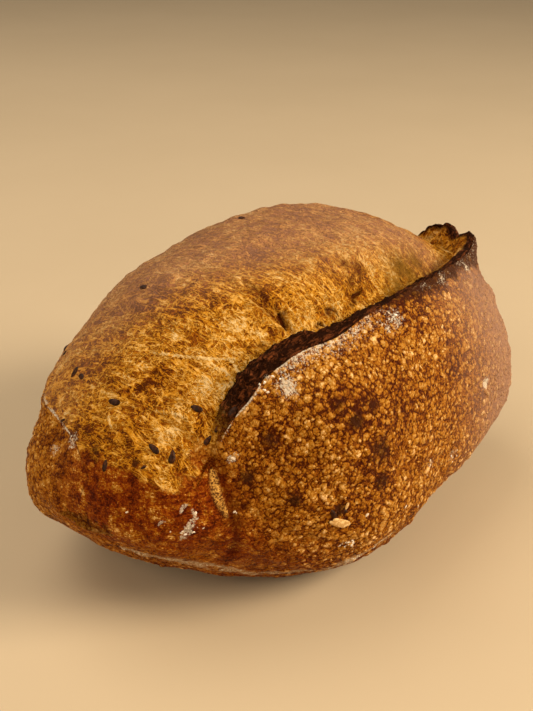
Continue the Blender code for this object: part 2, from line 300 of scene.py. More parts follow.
@dataclass(frozen=True)
class LoafForm:
    """The loaf's plain form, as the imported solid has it.

    Each section has four superelliptic quarters about its middle, and the section's reaches shrink toward
    each tip as powers of the turn's sine. Pairs are for the near and the far half.
    """

    length: float = 0.226
    distances: tuple[float, ...] = (-0.090, -0.056, -0.019, 0.019, 0.056, 0.090)
    front_widths: tuple[float, ...] = (0.0630, 0.0870, 0.0895, 0.0890, 0.0955, 0.1080)
    back_widths: tuple[float, ...] = (0.0700, 0.0705, 0.0745, 0.0730, 0.0755, 0.0715)
    heights: tuple[float, ...] = (0.1230, 0.1262, 0.1250, 0.1265, 0.1280, 0.1250)
    waist_height: float = 0.048
    base_sink: float = 0.008
    base_rounding: float = 0.0025
    near_tip: tuple[float, float] = (0.006, 0.0500)
    far_tip: tuple[float, float] = (-0.010, 0.0510)
    length_squareness: tuple[float, float] = (2.19, 2.41)
    front_squareness: tuple[float, float] = (2.75, 2.78)
    back_squareness: tuple[float, float] = (2.60, 2.76)
    top_squareness: tuple[float, float] = (1.66, 2.40)
    base_squareness: tuple[float, float] = (1.52, 2.50)
    front_top_squareness: float = 2.40
    back_top_squareness: float = 2.00
    front_base_squareness: tuple[float, float] = (1.75, 2.65)
    back_base_squareness: tuple[float, float] = (3.60, 3.00)
    near_tip_share: float = 0.75
    centring: tuple[float, float, float] = (-0.0003367, 0.0088123, 0.0)

    def pick(self, turn: Array, pair: tuple[float, float]) -> Array:
        """The first of the pair on the near half of the loaf, the second on the far half."""
        return np.where(turn < MIDDLE, *pair)

    def fill(self, turn: Array, squareness: tuple[float, float]) -> Array:
        """How far a reach has grown at a turn: the sine to the power of 2 over the squareness."""
        return np.maximum(np.sin(turn), 0.0) ** (2.0 / self.pick(turn, squareness))

    def girth(self, turn: Array) -> tuple[Array, ...]:
        """A section's X, its middle's Y and Z, then its front, back, top and base reaches.

        Args:
            turn: each ring's turn.

        Returns:
            The seven, for each turn.
        """
        along = -self.length / 2 * signed_power(np.cos(turn), 2.0 / self.pick(turn, self.length_squareness))
        distance = np.clip(along, self.distances[0], self.distances[-1])
        tip_y = self.pick(turn, (self.near_tip[0], self.far_tip[0]))
        tip_z = self.pick(turn, (self.near_tip[1], self.far_tip[1]))
        front_fill = self.fill(turn, self.front_squareness)
        back_fill = self.fill(turn, self.back_squareness)
        top_fill = self.fill(turn, self.top_squareness)
        base_fill = self.fill(turn, self.base_squareness)
        front = tip_y - (flowing(distance, self.distances, self.front_widths) + tip_y) * front_fill
        back = tip_y + (flowing(distance, self.distances, self.back_widths) - tip_y) * back_fill
        top = tip_z + (flowing(distance, self.distances, self.heights) - tip_z) * top_fill
        base = tip_z - (self.base_sink + tip_z) * base_fill
        middle_y = tip_y * (1.0 - (front_fill + back_fill) / 2)
        middle_z = tip_z + (self.waist_height - tip_z) * (top_fill + base_fill) / 2
        return along, middle_y, middle_z, front, back, top, base

    def body(self, turn: Array, angle: Array) -> Array:
        """Points of the plain loaf: each quarter is its reach times the sine or cosine to a power.

        Args:
            turn: each ring's turn.
            angle: each point's angle.

        Returns:
            The points.
        """
        along, middle_y, middle_z, front, back, top, base = self.girth(turn)
        across = np.cos(angle)
        up = np.sin(angle)
        inward = eased((1.0 - np.cos(turn)) / self.near_tip_share)
        front_base = self.front_base_squareness[0] + inward * np.diff(self.front_base_squareness)
        back_base = self.back_base_squareness[0] + inward * np.diff(self.back_base_squareness)
        upper = np.where(across >= 0, self.front_top_squareness, self.back_top_squareness)
        power = 2.0 / np.where(up >= 0, upper, np.where(across >= 0, front_base, back_base))
        side = np.where(across >= 0, front - middle_y, back - middle_y)
        rise = np.where(up >= 0, top - middle_z, middle_z - base)
        y = middle_y + side * np.abs(across) ** power
        z = middle_z + rise * signed_power(up, power)
        return np.stack([along + 0.0 * angle, y, z], axis=-1)

    def outward(self, turn: Array, angle: Array) -> Array:
        """The plain loaf's outward direction, from the steps beside each point.

        Args:
            turn: each ring's turn.
            angle: each point's angle.

        Returns:
            Directions at a length of 1.
        """
        step = 1e-3
        off_tip = np.clip(turn, 0.02, math.pi - 0.02)
        along = self.body(off_tip + step, angle) - self.body(off_tip - step, angle)
        around = self.body(off_tip, angle + step) - self.body(off_tip, angle - step)
        return unit(np.cross(along, around))

    def settled(self, points: Array) -> Array:
        """The underside pressed flat on Z = 0 with a rounded rim, and the loaf moved to its centre.

        Args:
            points: points of the unsettled loaf.

        Returns:
            The same points, settled.
        """
        z = points[..., 2:]
        soft = self.base_rounding
        rim = np.clip(z + soft, 0.0, 2 * soft) ** 2 / (4 * soft)
        pressed = np.concatenate([points[..., :2], np.where(z > soft, z, rim)], axis=-1)
        return pressed + np.array(self.centring)


@dataclass(frozen=True)
class Score:
    """The long score: its skin's lifted edge, the torn band above it and the bloom's valley behind.

    Rows of the table are place, angle in degrees, lift, band width and valley depth.
    """

    rows: tuple[tuple[float, ...], ...] = (
        (-1.0, -22.0, 0.0, 0.0, 0.0), (-0.93, -2.0, 0.0, 0.0, 0.0), (-0.84, 18.0, 0.0, 0.0, 0.0),
        (-0.761, 31.5, 0.0, 0.0, 0.0), (-0.716, 37.9, 0.0022, 0.003, 0.0022),
        (-0.674, 41.9, 0.0035, 0.0048, 0.0035), (-0.621, 45.0, 0.0045, 0.0066, 0.0045),
        (-0.57, 48.9, 0.004, 0.007, 0.005), (-0.497, 51.5, 0.003, 0.0072, 0.0058),
        (-0.404, 52.4, 0.002, 0.0066, 0.0068), (-0.291, 50.6, 0.001, 0.0052, 0.0075),
        (-0.122, 50.6, 0.0, 0.0026, 0.0082), (0.086, 48.2, 0.0008, 0.001, 0.0085),
        (0.3, 46.5, 0.0025, 0.0012, 0.0085), (0.5, 47.4, 0.0045, 0.0016, 0.0085),
        (0.65, 48.0, 0.0105, 0.002, 0.0078), (0.74, 48.6, 0.018, 0.0026, 0.0062),
        (0.765, 50.4, 0.0166, 0.0026, 0.0056), (0.79, 52.7, 0.0136, 0.0028, 0.005),
        (0.81, 54.6, 0.0142, 0.003, 0.0048), (0.83, 56.8, 0.0184, 0.003, 0.0045),
        (0.865, 60.5, 0.0184, 0.003, 0.004), (0.9, 65.5, 0.0182, 0.003, 0.0034),
        (0.925, 70.7, 0.013, 0.0026, 0.0026), (0.975, 88.0, 0.001, 0.001, 0.0005),
        (1.0, 98.0, 0.0, 0.0, 0.0),
    )
    lifted_arc: float = math.radians(28.0)
    tall_lifts: tuple[float, float] = (0.006, 0.014)
    neck: tuple[float, float, float] = (0.85, math.radians(8.5), math.radians(5.0))
    shoulder: tuple[float, float, float] = (0.12, math.radians(19.0), math.radians(8.0))
    band_rise: float = math.radians(42.0)
    crest_rags: float = 0.0022
    crest_gap: float = 0.003
    bloom_run: float = 0.030
    bloom_rise: float = 0.5
    seam: Line = (
        (-0.96, 84.0), (-0.904, 105.0), (-0.865, 119.0), (-0.828, 130.5), (-0.74, 146.0), (-0.6, 155.0),
        (-0.4, 158.0), (0.3, 158.0), (0.8, 150.0), (0.94, 132.0),
    )
    seam_step: float = 0.0012
    seam_arc: float = math.radians(7.0)

    def read(self, turn: Array) -> tuple[Array, Array, Array, Array]:
        """The edge's angle in radians, then the lift, the band's width and the valley's depth.

        Args:
            turn: each ring's turn.

        Returns:
            The four, for each turn.
        """
        places, angles, *sizes = zip(*self.rows)
        place = -np.cos(turn)
        lift, band, valley = (np.maximum(flowing(place, places, size), 0.0) for size in sizes)
        return np.radians(flowing(place, places, angles)), lift, band, valley

    def necked(self, below: Array, lift: Array) -> Array:
        """How far the skin draws in under a tall ear: at its neck, and a little at the shoulder below it.

        Each is a bell over the angle below the edge, times how much taller the lift is than the first of
        the two tall lifts, up to the second.

        Args:
            below: how far each point's angle is below the edge.
            lift: each ring's lift.

        Returns:
            The distance inward.
        """
        tall = np.clip(lift, *self.tall_lifts) - self.tall_lifts[0]
        bells = (depth * bell((below - at) / wide) for depth, at, wide in (self.neck, self.shoulder))
        return tall * sum(bells)

    def seam_angle(self, turn: Array) -> Array:
        """The angle of the seam that bounds the bloom at the back, in radians."""
        return np.radians(flowing(-np.cos(turn), *zip(*self.seam)))


# ---------------------------------------------------------------- the crust's grid


class Stretch(Enum):
    """Runs of columns round the loaf. Each value is how many columns it has."""

    BASE_FRONT = 44
    SIDE_LOW = 128
    SIDE_HIGH = 134
    TORN = 24
    INNER = 28
    BLOOM_FRONT = 132
    BLOOM_BACK = 150
    BACK = 100
    BASE_BACK = 38


@dataclass
class CrustGrid:
    """The whole crust as rings of columns, closed round each ring, with a tip at each end.

    Attributes:
        points: rings by columns by three.
        outward: the direction out of the crust at each point.
        turn: each ring's turn, one column.
        angle: each point's angle.
        masks: what each point is made of, each rings by columns.
        tips: the near and the far tip.
        spine: a point inside the loaf for each ring, where the hidden walls of every piece meet.
        starts: the column at which each stretch starts.
    """

    points: Array
    outward: Array
    turn: Array
    angle: Array
    tips: Array
    spine: Array
    starts: dict[Stretch, int]
    masks: dict[str, Array] = field(default_factory=dict)

    def columns(self, *stretches: Stretch) -> Array:
        """The columns from the first stretch to the end of the last, with the one that the next shares.

        Args:
            stretches: neighbouring stretches, in order.

        Returns:
            The columns' numbers.
        """
        start = self.starts[stretches[0]]
        end = self.starts[stretches[-1]] + stretches[-1].value
        return np.arange(start, end + 1) % self.points.shape[1]

    def tree(self) -> BVHTree:
        """The crust as a search tree of its quads, for laying small things on it."""
        number = np.arange(self.points[..., 0].size).reshape(self.points.shape[:2])
        quads = quads_between(closed(number))
        return BVHTree.FromPolygons(self.points.reshape(-1, 3).tolist(), quads.tolist())

    def face_out(self) -> None:
        """Works out the outward directions, as the cross product of the steps along and round."""
        along = np.gradient(self.points, axis=0)
        around = np.roll(self.points, -1, axis=1) - np.roll(self.points, 1, axis=1)
        self.outward = unit(np.cross(along, around))


@dataclass(frozen=True)
class Crust:
    """Lays out the crust's grid from the form and the score."""

    form: LoafForm
    score: Score
    rings: int = 600
    base_share: float = 0.235
    waist_share: float = 0.65
    bloom_shares: tuple[float, float, float] = (0.21, 0.49, 0.85)
    spine_share: float = 0.72
    most_steps: float = 6.0

    def shares(
        self, marks: tuple[float, ...], stretches: tuple[Stretch, ...], start: float, span: float
    ) -> Array:
        """Where the columns lie: at even steps along the middle section, in each stretch between marks.

        Args:
            marks: rising shares at which the stretches start, then the last one's end.
            stretches: the stretches.
            start: angle in radians at a share of 0.
            span: angle in radians from a share of 0 to a share of 1.

        Returns:
            Each column's share, without the end.
        """
        runs = []
        for low, high, stretch in zip(marks, marks[1:], stretches):
            fine = np.linspace(low, high, 400)
            line = self.form.body(np.array([MIDDLE]), start + span * fine)
            run = np.concatenate([[0.0], np.cumsum(np.linalg.norm(np.diff(line, axis=0), axis=-1))])
            runs.append(np.interp(np.linspace(0.0, run[-1], stretch.value + 1)[:-1], run, fine))
        return np.concatenate(runs)

    def skin(self, turn: Array, edge_angle: Array, lift: Array) -> tuple[Array, Array]:
        """The side from underneath up to its edge: the plain loaf, lifted where it nears the edge.

        Args:
            turn: each ring's turn.
            edge_angle: the edge's angle at each ring.
            lift: the lift at each ring.

        Returns:
            The points and their angles.
        """
        base = UNDERNEATH - 2 * math.pi
        middle_span = self.score.read(np.array([MIDDLE]))[0][0] - base
        marks = (0.0, self.base_share, self.waist_share, 1.0)
        stretches = (Stretch.BASE_FRONT, Stretch.SIDE_LOW, Stretch.SIDE_HIGH)
        shares = np.append(self.shares(marks, stretches, base, middle_span), 1.0)
        angle = base + (edge_angle - base) * shares
        arc = self.score.lifted_arc
        rise = lift * eased((angle - edge_angle + arc) / arc) ** 1.5
        inward = self.score.necked(edge_angle - angle, lift)[..., None] * self.form.outward(turn, angle)
        return self.form.body(turn, angle) + rise[..., None] * UP - inward, angle

    def crest(self, edge: Array, band: Array) -> Array:
        """The torn band's far edge: across the score and up by the band's width, along a ragged line.

        Args:
            edge: the skin's edge.
            band: the band's width at each ring.

        Returns:
            The points of the far edge.
        """
        run = unit(np.gradient(edge[:, 0, :], axis=0))
        across = unit(np.stack([-run[:, 1], run[:, 0], 0.0 * run[:, 0]], axis=-1))[:, None, :]
        tufts = layered_noise(edge, 0.0032, 3, 31) - 0.5
        wide = band + self.score.crest_rags * tufts * eased(band / 0.003)
        rise = self.score.band_rise
        return edge + wide[..., None] * (across * math.cos(rise) + UP * math.sin(rise))

    def bloom(self, turn: Array, start_angle: Array, valley: Array, lift: Array) -> tuple[Array, Array]:
        """The bloom and the back: sunk in the valley, risen toward the ear, stepped in past the seam.

        Both the depth and the rise fall off with the distance from the bloom's start, as powers of what is
        left of the eased share of the run.

        Args:
            turn: each ring's turn.
            start_angle: the angle at which each ring's bloom starts.
            valley: the valley's depth at each ring.
            lift: the skin's lift at each ring.

        Returns:
            The points and their angles.
        """
        middle = float(start_angle[len(turn) // 2, 0])
        span = UNDERNEATH - middle
        stretches = (Stretch.BLOOM_FRONT, Stretch.BLOOM_BACK, Stretch.BACK, Stretch.BASE_BACK)
        shares = self.shares((0.0, *self.bloom_shares, 1.0), stretches, middle, span)
        angle = start_angle + (UNDERNEATH - start_angle) * shares
        points = self.form.body(turn, angle)
        away = np.linalg.norm(points - self.form.body(turn, start_angle), axis=-1)
        left = 1.0 - eased(away / self.score.bloom_run)
        sunk = valley * left**1.6
        risen = self.score.bloom_rise * lift * left**2
        past_seam = eased((angle - self.score.seam_angle(turn)) / self.score.seam_arc)
        above_base = eased((UNDERNEATH - angle) / 0.4)
        off_tip = eased((np.sin(turn) - 0.3) / 0.3)
        inward = sunk + self.score.seam_step * past_seam * above_base * off_tip
        points = points + risen[..., None] * UP
        return points - inward[..., None] * self.form.outward(turn, angle), angle

    def grid(self) -> CrustGrid:
        """Builds the grid: skin, torn band, the ear's inner face, then bloom and back.

        Returns:
            The crust, with its outward directions and without masks.
        """
        turn = (np.arange(1, self.rings + 1) * math.pi / (self.rings + 1))[:, None]
        edge_angle, lift, band, valley = self.score.read(turn)
        side, side_angle = self.skin(turn, edge_angle, lift)
        edge = side[:, -1:, :]
        top = self.crest(edge, band)
        step = 0.1
        reach = self.form.body(turn, edge_angle + step) - self.form.body(turn, edge_angle)
        arm = np.maximum(np.linalg.norm(reach, axis=-1), 1e-4)
        start = edge_angle + step * np.minimum((band + self.score.crest_gap) / arm, self.most_steps)
        dome, dome_angle = self.bloom(turn, start, valley, lift)
        torn_share = np.linspace(0.0, 1.0, Stretch.TORN.value + 1)[:-1]
        inner_share = np.linspace(0.0, 1.0, Stretch.INNER.value + 1)[:-1]
        torn = edge + (top - edge) * torn_share[:, None]
        inner = top + (dome[:, :1, :] - top) * inner_share[:, None]
        points = np.concatenate([side[:, :-1], torn, inner, dome], axis=1)
        share = np.concatenate([torn_share, 1.0 + inner_share])[None]
        between = edge_angle + (start - edge_angle) * share / 2
        angle = np.concatenate([side_angle[:, :-1], between, dome_angle], axis=1)
        counts = [stretch.value for stretch in Stretch]
        starts = dict(zip(Stretch, np.cumsum([0] + counts[:-1]).tolist()))
        tips = self.form.body(np.array([0.0, math.pi]), np.array([0.0, 0.0]))
        along, middle_y, middle_z, *_ = self.form.girth(turn)
        inside_y = middle_y + self.spine_share * (edge[:, 0, 1:2] - middle_y)
        spine = np.concatenate([along, inside_y, 0.9 * middle_z], axis=1)
        made = CrustGrid(points, points, turn, angle, tips, spine, starts)
        made.face_out()
        return made


@dataclass(frozen=True)
class Spot:
    """A round patch on the crust: its place, angle in degrees, radius and strength."""

    place: float
    angle: float
    radius: float
    strength: float


def spots(*rows: tuple[float, float, float, float]) -> tuple[Spot, ...]:
    """Spots from rows of place, angle in degrees, radius in millimetres and strength."""
    return tuple(Spot(place, angle, radius / 1000, strength) for place, angle, radius, strength in rows)


@dataclass(frozen=True)
class Trail:
    """A line on the crust through places and angles in degrees, with its half width."""

    line: Line
    width: float


@dataclass(frozen=True)
class Baking:
    """Paints as masks what the oven did to the crust, with painted light and shade among them, and raises
    the relief that goes with them.

    Masks run from 0 to 1. bloom is the burst crumb, char the torn edge with painted shade in the gap
    behind it, lip the base's rim, seam the line behind the bloom, darkened as painted shadow of its step,
    and soft a paler, greyer wash of painted sheen on the far crust and the bloom's top. blister, dome,
    outline, cobble and tone follow the skin's blisters. The others are patches or lines: scorch, brown,
    olive, red, pale, smooth, pit, crease, groove, rib, strand, streak and flour. olive is painted shadow of
    the ear on the bloom; pit and crease are painted shade in pits, holes, the fold and the groove; red is
    partly the crust's own deeper bake and partly painted shade; pale is partly the bloom's paler crumb and
    partly a painted highlight. The last number that a noise takes is its seed.
    """

    form: LoafForm
    score: Score
    lump_height: float = 0.0007
    lump_waves: tuple[float, float] = (0.022, 0.060)
    swell_height: float = 0.0004
    swell_waves: tuple[float, float] = (0.009, 0.016)
    seed: int = 7
    large: Bubbles = Bubbles(0.0050, (0.0012, 0.0023), 0.85, 40)
    small: Bubbles = Bubbles(0.0027, (0.0006, 0.0013), 0.92, 60)
    cobbles: Cobbles = Cobbles(0.0027, 80)
    fold_line: Line = (
        (-22.0, -0.725), (-8.0, -0.735), (5.7, -0.745), (13.6, -0.755), (22.1, -0.759), (31.0, -0.76),
    )
    fold_depth: float = 0.0012
    fold_width: float = 0.0026
    bloom_foot: Line = (
        (-30.0, -0.78), (3.8, -0.798), (15.7, -0.816), (22.3, -0.849), (30.0, -0.872), (48.5, -0.886),
        (62.0, -0.893), (78.5, -0.924), (89.0, -0.919), (101.5, -0.902), (130.0, -0.93), (200.0, -0.95),
    )
    rib: Trail = Trail(
        ((-0.765, 28.2), (-0.768, 23.2), (-0.771, 16.9), (-0.768, 10.8), (-0.754, 3.1)), 0.0019
    )
    # a groove on the bloom, sunk and darkened with painted shade
    groove: Trail = Trail(((-0.275, 82.0), (-0.326, 73.9), (-0.336, 68.7), (-0.330, 61.0)), 0.0026)
    strokes: tuple[Trail, ...] = (
        Trail(((-0.839, 7.6), (-0.853, 3.6), (-0.866, -1.4), (-0.874, -11.3)), 0.0020),
        Trail(((-0.842, 14.3), (-0.839, 9.5), (-0.831, 6.0)), 0.0008),
        Trail(((-0.874, 14.6), (-0.861, 17.1), (-0.850, 18.6)), 0.0006),
        Trail(((-0.924, 5.8), (-0.916, 9.3), (-0.905, 9.5)), 0.0007),
        Trail(((-0.726, 145.8), (-0.810, 132.9), (-0.864, 121.3), (-0.901, 106.2)), 0.0008),
    )
    strands: tuple[Trail, ...] = (
        Trail(((-0.819, -3.7), (-0.794, -7.5), (-0.761, -15.1)), 0.0006),
        Trail(((-0.647, 87.1), (-0.622, 78.2), (-0.589, 70.2), (-0.546, 64.2)), 0.0007),
        Trail(((-0.781, 71.3), (-0.761, 65.1), (-0.744, 57.7)), 0.0006),
        Trail(((-0.828, 88.6), (-0.845, 87.2), (-0.859, 84.4)), 0.0006),
        Trail(((-0.606, 49.9), (-0.572, 61.6), (-0.563, 66.3)), 0.0006),
        Trail(((-0.635, 49.0), (-0.602, 61.7), (-0.606, 66.8)), 0.0006),
    )
    rims: tuple[Trail, ...] = (
        Trail(
            ((-0.916, -69.9), (-0.869, -54.9), (-0.822, -44.4), (-0.715, -43.5), (-0.597, -46.5)), 0.0048
        ),
        Trail(
            ((-0.660, -45.0), (-0.597, -46.5), (-0.502, -42.4), (-0.408, -27.0), (-0.231, -14.6)), 0.0034
        ),
    )
    # torn holes on the bloom, sunk and filled with painted shade through the pit mask
    holes: tuple[Trail, ...] = (
        Trail(((-0.316, 68.5), (-0.331, 65.9), (-0.346, 62.9)), 0.0012),
        Trail(((-0.159, 61.3), (-0.128, 60.1), (-0.128, 56.9)), 0.0008),
        Trail(((-0.286, 60.4), (-0.370, 54.2)), 0.0010),
        Trail(((-0.024, 59.1), (0.018, 58.4)), 0.0009),
        Trail(((-0.220, 59.9), (-0.205, 57.3)), 0.0007),
    )
    streaks: tuple[Trail, ...] = (
        Trail(((-0.781, 89.8), (-0.754, 83.8), (-0.726, 79.9), (-0.708, 75.9)), 0.0013),
        Trail(((-0.704, 36.3), (-0.733, 33.1), (-0.758, 28.5), (-0.781, 23.7)), 0.0016),
        Trail(((-0.719, 67.1), (-0.693, 67.0), (-0.658, 65.5)), 0.0009),
    )
    smooth: tuple[Spot, ...] = spots(
        (-0.962, 85.8, 30.0, 1.0), (-0.922, 30.5, 26.0, 1.0), (-0.853, 4.2, 22.0, 1.0),
        (-0.778, 17.7, 8.0, 1.0), (-0.697, -28.4, 18.0, 0.7),
    )
    scorches: tuple[Spot, ...] = spots(
        (-0.697, 19.1, 4.2, 0.9), (-0.622, 30.2, 5.0, 0.8), (-0.602, 7.5, 3.0, 1.0),
        (-0.492, 1.7, 3.4, 1.0), (-0.394, 26.7, 4.2, 1.0), (-0.423, 33.6, 5.0, 0.7), (-0.2, 21.4, 8.0, 0.5),
        (-0.321, 28.5, 8.0, 0.6), (-0.331, 14.5, 8.5, 0.8), (-0.336, 5.3, 5.5, 0.8),
        (-0.38, 10.3, 6.0, 0.5), (-0.055, 19.8, 6.0, 0.4), (0.133, 19.5, 7.0, 0.3),
        (-0.519, 22.5, 3.0, 0.5), (-0.91, 86.7, 4.0, 0.8), (-0.887, 104.3, 3.0, 0.6),
        (-0.896, 59.9, 2.2, 0.8), (-0.869, 114.6, 2.5, 0.7), (-0.905, 126.7, 4.0, 0.4),
        (-0.879, 82.8, 3.0, 0.5),
    )
    flours: tuple[Spot, ...] = spots(
        (-0.519, 44.9, 4.0, 1.0), (-0.55, 49.5, 1.2, 0.8), (-0.024, 44.5, 4.6, 0.75),
        (-0.071, 43.8, 3.4, 0.6), (0.286, 44.6, 3.0, 0.6), (0.488, 44.2, 3.0, 0.6),
        (-0.715, 28.5, 2.0, 0.7), (0.331, 7.2, 2.6, 1.3), (-0.06, 0.2, 2.6, 0.6), (0.091, -3.8, 3.0, 0.6),
        (-0.903, 104.9, 2.2, 0.8), (-0.918, 103.4, 2.0, 0.7), (-0.928, 121.5, 2.4, 0.6),
        (-0.884, 116.5, 1.5, 0.5),
    )
    # round pits, sunk and filled with painted shade
    pits: tuple[Spot, ...] = spots(
        (-0.326, 66.9, 1.8, 1.0), (-0.306, 67.1, 1.3, 0.9), (-0.154, 60.0, 1.8, 1.0),
        (-0.128, 60.1, 1.4, 0.8), (-0.024, 57.9, 1.6, 1.0), (-0.044, 57.5, 1.3, 0.8),
        (0.024, 67.5, 2.6, 0.7), (0.05, 64.1, 3.2, 0.8), (0.003, 62.2, 2.4, 0.7), (-0.456, 64.1, 1.4, 0.7),
        (-0.593, 52.2, 1.2, 0.6), (-0.231, 58.8, 1.2, 0.7),
    )
    # paler bloom near the ear: partly its own paler crumb, partly a painted highlight where the light falls
    # on it
    pale_and_lit_spots: tuple[Spot, ...] = spots(
        (-0.585, 64.8, 13.0, 1.0), (-0.662, 62.6, 12.0, 0.9), (-0.555, 71.8, 8.0, 0.5),
        (-0.715, 64.1, 9.0, 0.6), (-0.778, 55.3, 8.0, 0.8), (-0.794, 43.8, 5.0, 0.7),
        (-0.737, 73.8, 8.0, 0.4), (-0.301, 61.2, 9.0, 0.8), (-0.179, 59.5, 8.0, 0.6),
        (0.185, 64.9, 13.0, 0.6), (-0.225, 70.6, 12.0, 0.4), (-0.666, 85.5, 9.0, 0.3),
        (0.081, 75.8, 16.0, 0.3), (-0.446, 70.8, 9.0, 0.6),
    )
    browns: tuple[Spot, ...] = spots(
        (-0.474, 103.7, 15.0, 0.6), (-0.432, 89.7, 13.0, 0.8), (-0.432, 79.6, 10.0, 0.7),
        (-0.581, 119.0, 15.0, 0.5), (-0.091, 87.8, 14.0, 0.7), (0.205, 89.0, 18.0, 0.6),
        (-0.024, 62.6, 6.0, 0.8), (0.034, 64.3, 6.0, 0.8), (0.024, 67.5, 4.0, 0.6),
        (-0.754, 82.9, 6.0, 0.25), (-0.765, 89.0, 4.0, 0.2), (-0.85, 66.0, 7.0, 0.6),
        (-0.693, 117.9, 12.0, 0.4), (-0.877, 90.8, 9.0, 0.6), (-0.712, 47.6, 6.0, 1.0),
        (-0.754, 38.5, 7.0, 1.0), (-0.67, 47.5, 5.0, 0.7), (0.825, 60.5, 14.0, 0.3),
        (-0.306, 72.2, 5.0, 0.4), (-0.836, 82.3, 6.0, 0.4), (-0.581, 78.4, 5.0, 0.5),
        (0.044, 57.1, 4.0, 0.6), (0.148, 59.4, 4.0, 0.5),
    )
    # painted shadow that the ear and the torn band cast on the bloom beside them
    ear_shadow_spots: tuple[Spot, ...] = spots(
        (0.225, 57.7, 7.0, 1.0), (0.251, 54.3, 6.0, 1.0), (0.159, 53.7, 6.0, 0.9), (0.336, 57.1, 6.0, 0.8),
        (0.107, 53.1, 4.0, 0.7), (-0.622, 49.4, 3.0, 0.3),
    )
    # redder, darker patches at the near end: partly the crust's own deeper bake, partly painted shade
    red_and_shade_spots: tuple[Spot, ...] = spots(
        (-0.97, 52.2, 28.0, 1.0), (-0.922, 30.5, 24.0, 1.0), (-0.962, 85.8, 14.0, 0.5),
        (-0.989, 179.8, 24.0, 0.3), (-0.874, 8.2, 24.0, 1.0), (-0.788, 15.9, 12.0, 1.0),
        (-0.778, 28.9, 7.0, 0.8), (-0.73, -16.3, 18.0, 0.9), (-0.635, -24.3, 14.0, 0.7),
        (-0.55, -26.8, 18.0, 0.6), (-0.712, 9.7, 7.0, 0.5),
    )

    def spot_centre(self, spot: Spot) -> Array:
        """Where a spot lies on the plain loaf."""
        return self.form.body(np.array([math.acos(-spot.place)]), np.array([math.radians(spot.angle)]))[0]

    def nearness(self, points: Array, spots: tuple[Spot, ...]) -> Array:
        """The strongest of the spots at each point, each a bell about its centre.

        Args:
            points: where to read it, in metres.
            spots: the spots.

        Returns:
            The strength at each point.
        """
        best = np.zeros(points.shape[:-1])
        for spot in spots:
            away = np.linalg.norm(points - self.spot_centre(spot), axis=-1) / spot.radius
            best = np.maximum(best, spot.strength * bell(away))
        return best

    def gap_to(self, points: Array, line: Array) -> tuple[Array, Array]:
        """Each point's distance to the nearest of a line's points, and how far along the line that is.

        Args:
            points: where to read it, in metres.
            line: points along the line.

        Returns:
            The distance, and the share of the way from 0 to 1.
        """
        gap = np.full(points.shape[:-1], FAR_OFF)
        along = np.zeros(points.shape[:-1])
        for number, spot in enumerate(line):
            away = np.linalg.norm(points - spot, axis=-1)
            along = np.where(away < gap, number / (len(line) - 1), along)
            gap = np.minimum(gap, away)
        return gap, along

    def along(self, places: Array, angles: Array) -> Array:
        """Points of the plain loaf at places and angles in degrees."""
        return self.form.body(np.arccos(-places), np.radians(angles))

    def fold(self, points: Array) -> Array:
        """Depth of the near end's fold: a soft groove about a curve on the plain loaf.

        Args:
            points: where to read it, in metres.

        Returns:
            The depth at each point.
        """
        angles, places = zip(*self.fold_line)
        angle = np.linspace(angles[0], angles[-1], 40)
        gap, _ = self.gap_to(points, self.along(flowing(angle, angles, places), angle))
        return self.fold_depth * bell(gap / self.fold_width)

    def traced(self, points: Array, trail: Trail) -> Array:
        """How much each point is on a trail, which thins to nothing at both ends.

        Args:
            points: where to read it, in metres.
            trail: the trail.

        Returns:
            A share from 0 to 1.
        """
        places, angles = zip(*trail.line)
        knots = np.linspace(0.0, 1.0, len(places))
        share = np.linspace(0.0, 1.0, 60)
        line = self.along(flowing(share, knots, places), flowing(share, knots, angles))
        gap, along = self.gap_to(points, line)
        width = trail.width * np.sqrt(np.clip(4.0 * along * (1.0 - along), 0.0, 1.0)) + 1e-5
        return 1.0 - ramped(gap / width, 0.6, 1.2)

    def drawn(self, points: Array, trails: tuple[Trail, ...]) -> Array:
        """How much each point is on any of the trails."""
        return np.maximum.reduce([self.traced(points, trail) for trail in trails])

    def coarse(self, grid: CrustGrid) -> None:
        """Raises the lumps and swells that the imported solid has, and sinks its fold.

        Args:
            grid: the crust, which is changed.
        """
        points = grid.points
        lumps = self.lump_height * plane_waves(points, self.lump_waves, 9, self.seed)
        swells = self.swell_height * np.abs(plane_waves(points, self.swell_waves, 14, self.seed + 1))
        off_base = eased((points[..., 2] - 0.002) / 0.008)
        rise = (lumps + swells - self.fold(points)) * off_base
        grid.points = points + rise[..., None] * grid.outward
        grid.face_out()

